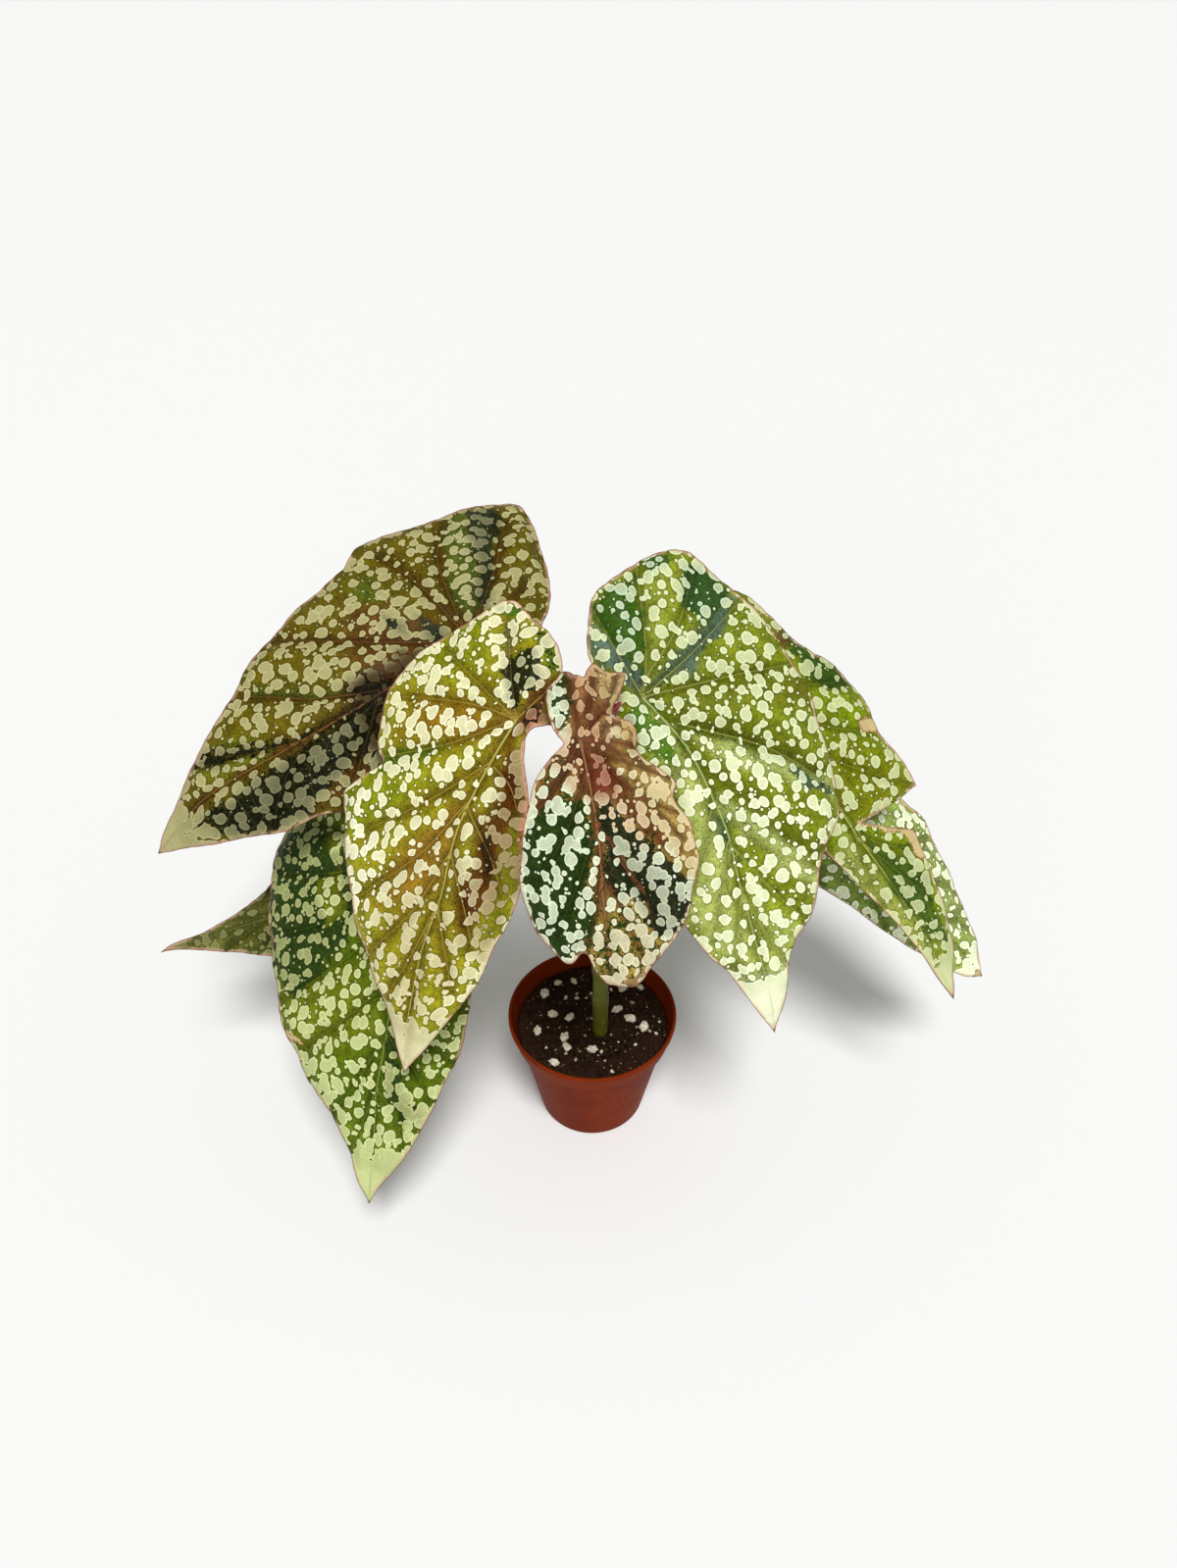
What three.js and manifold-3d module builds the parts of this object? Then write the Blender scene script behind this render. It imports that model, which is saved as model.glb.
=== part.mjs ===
// A young polka dot begonia in a small nursery pot.
// Millimetres, +Z up. The origin is the middle of the pot's base, and -Y is the front.

import * as THREE from "three";
import { ConvexGeometry } from "three/addons/geometries/ConvexGeometry.js";
import { mergeVertices } from "three/addons/utils/BufferGeometryUtils.js";
import Module from "manifold-3d";

const wasm = await Module();
wasm.setup();

// Driving dimensions

const GAP = 0.3;

const POT = {
  height: 62,
  rimRadius: 40,
  collarFoot: 51,
  collarRadius: 37.4,
  shoulderRadius: 35.4,
  baseRadius: 25.5,
  wall: 1,
  floor: 1.2,
  sides: 48,
  drainHoles: 8,
  drainHoleRadius: 2.5,
  drainRingRadius: 19,
  drainHoleSides: 10,
  baseChamfer: 0.8,
  collarSlope: 1.5,
};

const SOIL_TOP = 54;
const SOIL_EDGE_DROP = 0.6;
const SOIL_EDGE_WIDTH = 0.8;
const SOIL_BELOW_COLLAR = 2.5;

const CANE = {
  x: 3.8,
  y: -4.5,
  bow: 4,
  foot: 26,
  top: 238,
  footRadius: 3.4,
  bodyRadius: 3.7,
  topRadius: 2.6,
  sides: 14,
  swelling: 1,
  swellingLength: 3,
  lowerNodes: [76, 98, 120],
  lowestSwelling: 2.2,
};

const LEAF_THICKNESS = 0.6;
const FOLD_WIDTH = 5;
const CUP_WIDTH = 50;
const TEAR_DEPTH = 8;

const PETIOLE_RADIUS = 1.5;
const PETIOLE_SIDES = 8;
const PETIOLE_STEPS = 10;
const NOTCH_CLEARANCE = 2;

// Spokes of a leaf, in degrees from its tip, and its rings as parts of the way to the edge.
const HALF_SPOKES = [2, 5, 9, 14, 20, 28, 38, 50, 63, 78, 95, 113, 131, 148, 165];
const RINGS = [0.1, 0.36, 0.68, 1];

// Each leaf spreads from the joint where its petiole meets it.
//   joint, tip   the two ends of the midrib
//   face         the way the upper side looks
//   droop        how far the midrib bends down over its length, in degrees
//   fold, cup    how far the left and right halves fall away, in degrees:
//                at the midrib, and by 50 mm out
//   outline      pairs of degrees round the joint from the tip, first to the right
//                when the tip points down, and millimetres from the joint
//   notch        the angle of the gap between the basal lobes, where the petiole
//                comes in through it
//   node         the height of the petiole's foot on the cane
//   reach, lean  how strongly the petiole leaves the cane and meets the leaf, and
//                how steeply it leaves, in degrees

const LEAVES = [
  {
    name: "leaf_upper_left",
    joint: [-52, 50, 240],
    tip: [-185, 0, 165],
    face: [-0.15, -0.7, 0.7],
    droop: 40,
    fold: [8, 12],
    cup: [12, 15],
    outline: [
      [0, 164], [3, 148], [7, 131], [12, 116], [18, 97], [28, 80], [42, 64], [60, 50],
      [75, 38], [88, 20], [100, 9], [113, 7], [126, 9], [140, 18], [155, 28], [170, 36],
      [188, 46], [207, 62], [219, 82], [226, 80], [239, 73], [252, 66], [268, 67],
      [282, 71], [295, 67], [310, 74], [325, 88], [334, 98], [342, 108], [350, 128],
      [356, 146], [360, 164],
    ],
    notch: 113,
    node: 202,
    reach: [0.5, 0.3],
    lean: 68,
  },
  {
    name: "leaf_front_left",
    joint: [-29, -10, 244],
    tip: [-77, -75, 113],
    face: [-0.35, -0.8, 0.5],
    droop: 35,
    fold: [5, 30],
    cup: [10, 20],
    outline: [
      [0, 156], [4, 135], [10, 112], [15, 89], [21, 67], [27, 38], [34, 14], [60, 8],
      [90, 9], [105, 13], [130, 17], [158, 24], [170, 30], [184, 35], [196, 41],
      [210, 50], [222, 49], [231, 48], [248, 50], [258, 54], [278, 60], [292, 59],
      [307, 63], [311, 78], [317, 86], [326, 92], [334, 100], [342, 111], [350, 122],
      [356, 136], [360, 156],
    ],
    node: 225,
    reach: [0.6, 0.3],
    lean: 65,
  },
  {
    name: "leaf_young",
    joint: [-5, -25, 246],
    tip: [10, -78, 173],
    face: [0, -0.8, 0.5],
    droop: 40,
    fold: [10, 10],
    cup: [20, 20],
    outline: [
      [0, 95], [8, 91], [17, 85], [28, 71], [37, 65], [44, 53], [52, 41], [60, 35],
      [66, 24], [80, 20], [100, 19], [125, 22], [140, 32], [150, 29], [162, 31],
      [172, 25], [183, 30], [196, 26], [210, 19], [232, 13], [260, 6], [280, 7],
      [298, 17], [310, 29], [322, 47], [331, 65], [341, 81], [348, 86], [352, 82],
      [356, 93], [360, 95],
    ],
    node: 236,
    reach: [0.3, 0.3],
    lean: 20,
  },
  {
    name: "leaf_front_right",
    joint: [19, 0, 247],
    tip: [75, -60, 120],
    face: [0.1, -0.8, 0.5],
    droop: 35,
    fold: [15, 5],
    cup: [15, 10],
    outline: [
      [0, 154], [3, 140], [8, 122], [16, 111], [27, 98], [36, 94], [44, 87], [54, 76],
      [68, 69], [85, 62], [105, 60], [125, 59], [140, 63], [153, 58], [168, 50],
      [182, 44], [196, 34], [214, 23], [232, 10], [250, 8], [275, 9], [295, 12],
      [312, 18], [326, 34], [339, 66], [348, 92], [353, 112], [357, 132], [360, 154],
    ],
    node: 212,
    reach: [0.4, 0.35],
    lean: 50,
  },
  {
    name: "leaf_upper_right",
    joint: [57, 45, 225],
    tip: [161, -20, 96],
    face: [0.25, -0.7, 0.6],
    droop: 38,
    fold: [15, 5],
    cup: [15, 15],
    outline: [
      [0, 182], [3, 165], [7, 142], [11, 118], [14, 106], [19, 102], [24, 99],
      [29, 84], [35, 72], [44, 65], [52, 57], [62, 48], [70, 41], [90, 36],
      [112, 38], [133, 43], [150, 38], [170, 28], [190, 18], [210, 10], [230, 9],
      [260, 14], [290, 22], [315, 34], [332, 52], [343, 70], [351, 88], [355, 112],
      [358, 140], [360, 182],
    ],
    node: 182,
    reach: [0.45, 0.16],
    lean: 40,
    // A tear in the right edge: its inner end, and its two corners at the edge.
    tear: [[84, 6], [103, 25], [90, 40]],
  },
  {
    name: "leaf_lower_right",
    joint: [71, 45, 166],
    tip: [185, 10, 76],
    face: [0.25, -0.7, 0.7],
    droop: 35,
    fold: [15, 5],
    cup: [15, 15],
    outline: [
      [0, 152], [2, 144], [6, 130], [11, 115], [18, 101], [27, 88], [32, 78],
      [45, 66], [60, 58], [80, 54], [100, 54], [120, 56], [140, 52], [160, 40],
      [180, 28], [200, 18], [220, 10], [240, 9], [265, 14], [290, 20], [310, 28],
      [325, 40], [340, 57], [346, 72], [350, 92], [354, 118], [357, 140], [360, 152],
    ],
    node: 156,
    reach: [0.42, 0.23],
    lean: 20,
  },
  {
    name: "leaf_lower_left",
    joint: [-80, 0, 162],
    tip: [-97, -90, 42],
    face: [-0.2, -0.8, 0.4],
    droop: 35,
    fold: [5, 15],
    cup: [15, 15],
    outline: [
      [0, 154], [3, 140], [9, 124], [14, 108], [21, 93], [27, 82], [34, 68],
      [45, 52], [60, 38], [80, 28], [100, 20], [120, 12], [140, 10], [160, 20],
      [180, 34], [200, 48], [220, 56], [240, 60], [261, 65], [276, 69], [288, 70],
      [302, 74], [314, 79], [324, 88], [333, 96], [341, 104], [349, 113], [356, 129],
      [360, 154],
    ],
    node: 168,
    reach: [0.42, 0.24],
    lean: 15,
  },
  {
    name: "leaf_shaded_left",
    joint: [-83, 44, 100],
    tip: [-197, 5, 97],
    face: [-0.1, -0.45, 0.8],
    droop: 40,
    fold: [10, 8],
    cup: [15, 15],
    outline: [
      [0, 123], [2, 116], [5, 108], [10, 92], [14, 78], [24, 60], [38, 46], [56, 38],
      [80, 32], [100, 26], [118, 18], [133, 9], [148, 7], [163, 9], [178, 20],
      [200, 40], [225, 50], [250, 54], [275, 56], [300, 58], [320, 62], [336, 66],
      [348, 74], [354, 84], [358, 98], [360, 123],
    ],
    notch: 148,
    node: 143,
    reach: [0.4, 0.3],
    lean: 10,
  },
];

const BUD = { foot: [4.7, -1.3, 239.4], length: 14, radius: 2, lean: [0.4, -0.5, 0.75], sides: 8 };

// Loose grains of perlite lying on the soil: where, how long and how they are turned.
const PERLITE = [
  { x: -23, y: 17, length: 5, turn: 80 },
  { x: -17, y: 24, length: 3.5, turn: 20 },
  { x: -9, y: 25, length: 3.5, turn: 130 },
  { x: -19, y: 4, length: 4.5, turn: 10 },
  { x: -11, y: 2, length: 4.5, turn: 40 },
  { x: -26, y: -6, length: 4.5, turn: 95 },
  { x: -13, y: -10, length: 4.5, turn: 60 },
  { x: -12, y: -16, length: 4.5, turn: 110 },
  { x: -18, y: -25, length: 4.5, turn: 150 },
  { x: 0, y: -17, length: 4.5, turn: 170 },
  { x: 12, y: 7, length: 4.5, turn: 30 },
  { x: 18, y: 1, length: 5, turn: 0 },
  { x: 25, y: -4, length: 5.5, turn: 75 },
  { x: 15, y: 20, length: 4, turn: 15 },
  { x: 24, y: 21, length: 3.5, turn: 140 },
];

const MATERIALS = {
  leafOlive: { color: 0x8a8a3a, roughness: 0.5, metalness: 0 },
  leafGreen: { color: 0x6f9638, roughness: 0.5, metalness: 0 },
  leafDark: { color: 0x3f5a26, roughness: 0.5, metalness: 0 },
  leafPink: { color: 0xb27a58, roughness: 0.5, metalness: 0 },
  stem: { color: 0x6c8030, roughness: 0.45, metalness: 0 },
  bud: { color: 0x9c2f2c, roughness: 0.45, metalness: 0 },
  pot: { color: 0x84402a, roughness: 0.5, metalness: 0 },
  soil: { color: 0x2a1c14, roughness: 0.95, metalness: 0 },
  perlite: { color: 0xe2dccb, roughness: 0.9, metalness: 0 },
};

const LEAF_MATERIALS = {
  leaf_upper_left: "leafOlive",
  leaf_front_left: "leafOlive",
  leaf_young: "leafPink",
  leaf_front_right: "leafGreen",
  leaf_upper_right: "leafGreen",
  leaf_lower_right: "leafGreen",
  leaf_lower_left: "leafGreen",
  leaf_shaded_left: "leafDark",
};

// Helpers

const vector = (values) => new THREE.Vector3(...values);
const radians = THREE.MathUtils.degToRad;

function addMesh(group, name, geometry, materialName) {
  const material = new THREE.MeshStandardMaterial(MATERIALS[materialName]);
  const mesh = new THREE.Mesh(geometry, material);
  mesh.name = name;
  group.add(mesh);
  return mesh;
}

// Joins the vertices that lie on one another and drops the faces that this closes up.
function weld(geometry) {
  const bare = new THREE.BufferGeometry();
  bare.setAttribute("position", geometry.getAttribute("position").clone());
  if (geometry.index) {
    bare.setIndex(geometry.index.clone());
  }
  const merged = mergeVertices(bare, 1e-4);
  const corners = merged.index.array;
  const kept = [];
  for (let i = 0; i < corners.length; i += 3) {
    const [a, b, c] = [corners[i], corners[i + 1], corners[i + 2]];
    if (a !== b && b !== c && c !== a) {
      kept.push(a, b, c);
    }
  }
  merged.setIndex(kept);
  return merged;
}

function signedVolume(geometry) {
  const position = geometry.getAttribute("position");
  const corners = geometry.index.array;
  const [a, b, c] = [new THREE.Vector3(), new THREE.Vector3(), new THREE.Vector3()];
  let total = 0;
  for (let i = 0; i < corners.length; i += 3) {
    a.fromBufferAttribute(position, corners[i]);
    b.fromBufferAttribute(position, corners[i + 1]);
    c.fromBufferAttribute(position, corners[i + 2]);
    total += a.dot(b.cross(c)) / 6;
  }
  return total;
}

function faceOutward(geometry) {
  if (signedVolume(geometry) < 0) {
    const corners = geometry.index.array;
    for (let i = 0; i < corners.length; i += 3) {
      [corners[i + 1], corners[i + 2]] = [corners[i + 2], corners[i + 1]];
    }
  }
  geometry.computeVertexNormals();
  return geometry;
}

function toSolid(geometry) {
  const welded = faceOutward(weld(geometry));
  return new wasm.Manifold(
    new wasm.Mesh({
      numProp: 3,
      vertProperties: new Float32Array(welded.getAttribute("position").array),
      triVerts: new Uint32Array(welded.index.array),
    }),
  );
}

function fromSolid(solid) {
  const mesh = solid.getMesh();
  const geometry = new THREE.BufferGeometry();
  geometry.setAttribute("position", new THREE.BufferAttribute(mesh.vertProperties, 3));
  geometry.setIndex(new THREE.BufferAttribute(mesh.triVerts, 1));
  geometry.computeVertexNormals();
  return geometry;
}

// A lathe shape standing up along +Z from [radius, height] pairs.
function latheUp(profile, sides) {
  const points = profile.map(([radius, height]) => new THREE.Vector2(radius, height));
  return new THREE.LatheGeometry(points, sides).rotateX(Math.PI / 2);
}

// Leaf surface

// The directions of a leaf at its joint: along the midrib, across it and out of its face.
function leafFrame(leaf) {
  const joint = vector(leaf.joint);
  const along = vector(leaf.tip).sub(joint);
  const chord = along.length();
  along.normalize();
  const face = vector(leaf.face);
  const out = face.addScaledVector(along, -face.dot(along)).normalize();
  const across = new THREE.Vector3().crossVectors(out, along);
  const bend = radians(leaf.droop);
  const length = (chord * bend) / 2 / Math.sin(bend / 2);
  return { joint, along, out, across, bend, length };
}

// How far a half falls away from the midrib at a given width.
function crossSection(fold, cup, width) {
  const steps = 24;
  let sideways = 0;
  let down = 0;
  for (let i = 0; i < steps; i += 1) {
    const at = (width * (i + 0.5)) / steps;
    const angle =
      radians(fold) * (1 - Math.exp(-at / FOLD_WIDTH)) + (radians(cup) * at) / CUP_WIDTH;
    sideways += (Math.cos(angle) * width) / steps;
    down += (Math.sin(angle) * width) / steps;
  }
  return [sideways, down];
}

// The point of a leaf at u along the midrib and v across it, lifted off its middle surface.
function leafPoint(leaf, u, v, lift) {
  const { joint, along, out, across, bend, length } = leafFrame(leaf);
  const curvature = bend / length;
  const start = bend / 2;
  const angle = start - curvature * u;
  const side = v < 0 ? 0 : 1;
  const [sideways, down] = crossSection(leaf.fold[side], leaf.cup[side], Math.abs(v));
  const normal = out.clone().multiplyScalar(Math.cos(angle));
  normal.addScaledVector(along, -Math.sin(angle));
  return joint
    .addScaledVector(along, (Math.sin(start) - Math.sin(angle)) / curvature)
    .addScaledVector(out, (Math.cos(angle) - Math.cos(start)) / curvature)
    .addScaledVector(across, Math.sign(v) * sideways)
    .addScaledVector(normal, lift - down);
}

// The outline's distance from the joint, smooth between its points and sharp at the tip.
function outlineRadius(outline, degrees) {
  const last = outline.length - 1;
  let i = 0;
  while (i < last - 1 && outline[i + 1][0] < degrees) {
    i += 1;
  }
  const slope = (a, b) => (outline[b][1] - outline[a][1]) / (outline[b][0] - outline[a][0]);
  const tangent = (k) => slope(Math.max(k - 1, 0), Math.min(k + 1, last));
  const [startAngle, startRadius] = outline[i];
  const [endAngle, endRadius] = outline[i + 1];
  const span = endAngle - startAngle;
  const t = (degrees - startAngle) / span;
  const t2 = t * t;
  const t3 = t2 * t;
  return (
    (2 * t3 - 3 * t2 + 1) * startRadius +
    (t3 - 2 * t2 + t) * span * tangent(i) +
    (3 * t2 - 2 * t3) * endRadius +
    (t3 - t2) * span * tangent(i + 1)
  );
}

function atAngle(leaf, degrees, distance) {
  const angle = radians(degrees);
  return leafPoint(leaf, distance * Math.cos(angle), distance * Math.sin(angle), 0);
}

function makeLeaf(leaf) {
  const spokes = [
    0,
    ...HALF_SPOKES,
    180,
    ...HALF_SPOKES.map((degrees) => 360 - degrees).reverse(),
  ];
  // A thin round disc, with a spoke for each direction and a ring for each step outwards.
  const half = LEAF_THICKNESS / 2;
  const profile = [
    [0, -half],
    ...RINGS.map((ring) => [ring, -half]),
    ...RINGS.map((ring) => [ring, half]).reverse(),
    [0, half],
  ];
  const disc = latheUp(profile, spokes.length);
  const position = disc.getAttribute("position");
  for (let i = 0; i < position.count; i += 1) {
    const ring = Math.hypot(position.getX(i), position.getY(i));
    const turn = Math.atan2(position.getY(i), position.getX(i)) / (2 * Math.PI);
    const spoke = Math.round(turn * spokes.length + spokes.length) % spokes.length;
    const degrees = spokes[spoke];
    const reach = ring * outlineRadius(leaf.outline, degrees);
    const u = reach * Math.cos(radians(degrees));
    const v = reach * Math.sin(radians(degrees));
    const point = leafPoint(leaf, u, v, position.getZ(i));
    position.setXYZ(i, point.x, point.y, point.z);
  }
  const geometry = faceOutward(weld(disc));
  if (!leaf.tear) {
    return geometry;
  }
  // The wedge of the tear runs on past the edge and through the leaf.
  const [inner, ...corners] = leaf.tear;
  const beyond = corners.map(([u, v]) => [
    inner[0] + 2 * (u - inner[0]),
    inner[1] + 2 * (v - inner[1]),
  ]);
  const points = [inner, ...beyond].flatMap(([u, v]) => [
    leafPoint(leaf, u, v, TEAR_DEPTH),
    leafPoint(leaf, u, v, -TEAR_DEPTH),
  ]);
  const wedge = toSolid(new ConvexGeometry(points));
  return fromSolid(toSolid(geometry).subtract(wedge));
}

// Cane and petioles

const caneNodes = [...CANE.lowerNodes, ...LEAVES.map((leaf) => leaf.node)];

function caneRadius(height) {
  const along = (height - SOIL_TOP) / (CANE.top - SOIL_TOP);
  let radius = THREE.MathUtils.lerp(CANE.bodyRadius, CANE.topRadius, Math.max(along, 0));
  if (height < SOIL_TOP) {
    radius = CANE.footRadius;
  }
  for (const node of caneNodes) {
    const swelling = node === CANE.lowerNodes[0] ? CANE.lowestSwelling : CANE.swelling;
    radius += swelling * Math.exp(-(((height - node) / CANE.swellingLength) ** 2));
  }
  return radius;
}

// The middle of the cane at a height: it bows back a little towards its top.
function caneAxis(height) {
  const along = Math.max(height - SOIL_TOP, 0) / (CANE.top - SOIL_TOP);
  return new THREE.Vector3(CANE.x, CANE.y + CANE.bow * along * along, height);
}

function makeCane() {
  const heights = [CANE.foot, SOIL_TOP - 1, SOIL_TOP + 1];
  for (const node of caneNodes) {
    heights.push(node - CANE.swellingLength, node, node + CANE.swellingLength);
  }
  heights.push(CANE.top);
  heights.sort((a, b) => a - b);
  const spaced = heights.filter((height, i) => i === 0 || height - heights[i - 1] > 1);
  const profile = [
    [0, spaced[0]],
    ...spaced.map((height) => [caneRadius(height), height]),
    [0, spaced[spaced.length - 1] + 1],
  ];
  const geometry = weld(latheUp(profile, CANE.sides));
  const position = geometry.getAttribute("position");
  for (let i = 0; i < position.count; i += 1) {
    const axis = caneAxis(position.getZ(i));
    position.setXY(i, position.getX(i) + axis.x, position.getY(i) + axis.y);
  }
  return faceOutward(geometry);
}

// A petiole leaves the cane at its node and meets its leaf squarely from below,
// or comes in through the notch of a leaf that the cane stands beside.
function petioleCurve(leaf) {
  const axis = caneAxis(leaf.node);
  const joint = vector(leaf.joint);
  const sideways = joint.clone().sub(axis).setZ(0).normalize();
  const lean = radians(leaf.lean);
  const clear = caneRadius(leaf.node) + GAP + PETIOLE_RADIUS * Math.sin(lean);
  const start = axis.clone().addScaledVector(sideways, clear);
  const leaving = sideways.multiplyScalar(Math.cos(lean)).setZ(Math.sin(lean));
  let meeting = leafPoint(leaf, 0, 0, 1).sub(joint);
  let end = leafPoint(leaf, 0, 0, -LEAF_THICKNESS / 2 - 2 * GAP);
  if (leaf.notch) {
    const inner = outlineRadius(leaf.outline, leaf.notch) + NOTCH_CLEARANCE;
    end = atAngle(leaf, leaf.notch, inner);
    meeting = joint.clone().sub(end).normalize();
  }
  const span = start.distanceTo(end);
  return new THREE.CubicBezierCurve3(
    start,
    start.clone().addScaledVector(leaving, span * leaf.reach[0]),
    end.clone().addScaledVector(meeting, -span * leaf.reach[1]),
    end,
  );
}

function makePetiole(leaf) {
  const section = new THREE.Shape();
  for (let i = 0; i < PETIOLE_SIDES; i += 1) {
    const angle = (2 * Math.PI * i) / PETIOLE_SIDES;
    const point = [PETIOLE_RADIUS * Math.cos(angle), PETIOLE_RADIUS * Math.sin(angle)];
    if (i === 0) {
      section.moveTo(...point);
    } else {
      section.lineTo(...point);
    }
  }
  const extruded = new THREE.ExtrudeGeometry(section, {
    steps: PETIOLE_STEPS,
    bevelEnabled: false,
    extrudePath: petioleCurve(leaf),
  });
  return faceOutward(weld(extruded));
}

function makeBud() {
  const { length, radius, sides } = BUD;
  const profile = [
    [0, 0],
    [radius * 0.7, length * 0.08],
    [radius, length * 0.3],
    [radius * 0.8, length * 0.6],
    [radius * 0.4, length * 0.85],
    [0, length],
  ];
  const upright = new THREE.Vector3(0, 0, 1);
  const lean = new THREE.Quaternion().setFromUnitVectors(upright, vector(BUD.lean).normalize());
  const geometry = faceOutward(weld(latheUp(profile, sides)));
  return geometry.applyQuaternion(lean).translate(...BUD.foot);
}

// Pot, soil and grains

function potInnerRadius(height) {
  if (height > POT.collarFoot) {
    const along = (height - POT.collarFoot) / (POT.height - POT.collarFoot);
    return THREE.MathUtils.lerp(POT.collarRadius, POT.rimRadius, along) - POT.wall;
  }
  const along = height / POT.collarFoot;
  return THREE.MathUtils.lerp(POT.baseRadius, POT.shoulderRadius, along) - POT.wall;
}

function makePot() {
  const collarInside = POT.collarFoot + 0.01;
  const slopeFoot = POT.collarFoot - POT.collarSlope;
  const profile = [
    [0, 0],
    [POT.baseRadius - POT.baseChamfer, 0],
    [POT.baseRadius, POT.baseChamfer],
    [POT.shoulderRadius, POT.collarFoot],
    [POT.collarRadius, POT.collarFoot],
    [POT.rimRadius, POT.height],
    [POT.rimRadius - POT.wall, POT.height],
    [potInnerRadius(collarInside), collarInside],
    [potInnerRadius(slopeFoot), slopeFoot],
    [potInnerRadius(POT.floor), POT.floor],
    [0, POT.floor],
  ];
  let solid = toSolid(latheUp(profile, POT.sides));
  for (let i = 0; i < POT.drainHoles; i += 1) {
    const angle = (2 * Math.PI * i) / POT.drainHoles;
    const radius = POT.drainHoleRadius;
    const depth = 4 * POT.floor;
    const hole = new THREE.CylinderGeometry(radius, radius, depth, POT.drainHoleSides);
    hole.rotateX(Math.PI / 2);
    hole.translate(
      POT.drainRingRadius * Math.cos(angle),
      POT.drainRingRadius * Math.sin(angle),
      0,
    );
    solid = solid.subtract(toSolid(hole));
  }
  return fromSolid(solid);
}

function makeSoil() {
  const bottom = POT.floor + GAP;
  const bend = POT.collarFoot - SOIL_BELOW_COLLAR;
  const profile = [
    [0, bottom],
    [potInnerRadius(bottom) - GAP, bottom],
    [potInnerRadius(bend) - GAP, bend],
    [potInnerRadius(bend) - GAP, SOIL_TOP - SOIL_EDGE_DROP],
    [potInnerRadius(bend) - GAP - SOIL_EDGE_WIDTH, SOIL_TOP],
    [0, SOIL_TOP],
  ];
  const plug = toSolid(latheUp(profile, POT.sides));
  const wellRadius = CANE.footRadius + 1.5 * GAP;
  const well = new THREE.CylinderGeometry(wellRadius, wellRadius, SOIL_TOP, CANE.sides);
  well.rotateX(Math.PI / 2);
  well.translate(CANE.x, CANE.y, CANE.foot - GAP + SOIL_TOP / 2);
  return fromSolid(plug.subtract(toSolid(well)));
}

// A lumpy grain, longer than it is wide and a little flatter still.
function makeGrain(grain, index) {
  const lumpiness = 0.14;
  const [width, thickness] = [0.68, 0.62];
  const geometry = weld(new THREE.IcosahedronGeometry(0.5, 0));
  const position = geometry.getAttribute("position");
  for (let i = 0; i < position.count; i += 1) {
    const push = 1 + lumpiness * Math.sin(7.3 * i + 2.1 * index);
    position.setXYZ(
      i,
      position.getX(i) * push,
      position.getY(i) * push,
      position.getZ(i) * push,
    );
  }
  geometry.scale(grain.length, grain.length * width, grain.length * thickness);
  geometry.rotateZ(radians(grain.turn));
  geometry.computeBoundingBox();
  geometry.translate(grain.x, grain.y, SOIL_TOP + GAP - geometry.boundingBox.min.z);
  return faceOutward(geometry);
}

// The plant

const begonia = new THREE.Group();

addMesh(begonia, "pot", makePot(), "pot");
addMesh(begonia, "soil", makeSoil(), "soil");
addMesh(begonia, "cane", makeCane(), "stem");

for (const leaf of LEAVES) {
  addMesh(begonia, leaf.name, makeLeaf(leaf), LEAF_MATERIALS[leaf.name]);
  const petioleName = leaf.name.replace("leaf", "petiole");
  addMesh(begonia, petioleName, makePetiole(leaf), "stem");
}

addMesh(begonia, "tip_bud", makeBud(), "bud");

PERLITE.forEach((grain, index) => {
  const number = String(index + 1).padStart(2, "0");
  addMesh(begonia, `perlite_${number}`, makeGrain(grain, index), "perlite");
});

export default begonia;
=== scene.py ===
import math
import random

import bmesh
import bpy
import numpy as np
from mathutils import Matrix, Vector, noise


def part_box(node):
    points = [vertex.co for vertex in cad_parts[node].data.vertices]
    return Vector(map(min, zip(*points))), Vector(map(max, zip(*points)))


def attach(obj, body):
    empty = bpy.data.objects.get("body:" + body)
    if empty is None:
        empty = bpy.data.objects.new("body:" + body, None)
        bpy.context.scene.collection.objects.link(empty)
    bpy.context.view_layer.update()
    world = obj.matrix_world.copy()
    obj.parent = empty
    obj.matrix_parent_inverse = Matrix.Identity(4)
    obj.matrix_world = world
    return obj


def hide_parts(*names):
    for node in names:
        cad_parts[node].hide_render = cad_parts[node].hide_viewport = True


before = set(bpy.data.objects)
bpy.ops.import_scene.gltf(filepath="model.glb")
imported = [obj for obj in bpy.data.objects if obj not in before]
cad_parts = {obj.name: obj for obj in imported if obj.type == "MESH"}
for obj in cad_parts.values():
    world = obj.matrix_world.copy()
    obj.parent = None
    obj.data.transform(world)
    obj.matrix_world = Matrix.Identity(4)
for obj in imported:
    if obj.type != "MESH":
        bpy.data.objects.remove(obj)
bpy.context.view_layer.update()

mm = 0.001  # the dictionaries below are in millimetres, the scene is in metres


# picking and finishing pieces

def pickNone():
    if bpy.context.object and bpy.context.object.mode != "OBJECT":
        bpy.ops.object.mode_set(mode="OBJECT")
    bpy.ops.object.select_all(action="DESELECT")


def pickOnly(piece):
    pickNone()
    piece.select_set(True)
    bpy.context.view_layer.objects.active = piece


def applyModifiers(piece):
    pickOnly(piece)
    for modifier in list(piece.modifiers):
        bpy.ops.object.modifier_apply(modifier=modifier.name)


def readPlaces(piece):
    places = np.empty(len(piece.data.vertices) * 3)
    piece.data.vertices.foreach_get("co", places)
    return places.reshape(-1, 3)


def writePlaces(piece, places):
    piece.data.vertices.foreach_set("co", np.ascontiguousarray(places, dtype=np.float32).ravel())
    piece.data.update()


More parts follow.
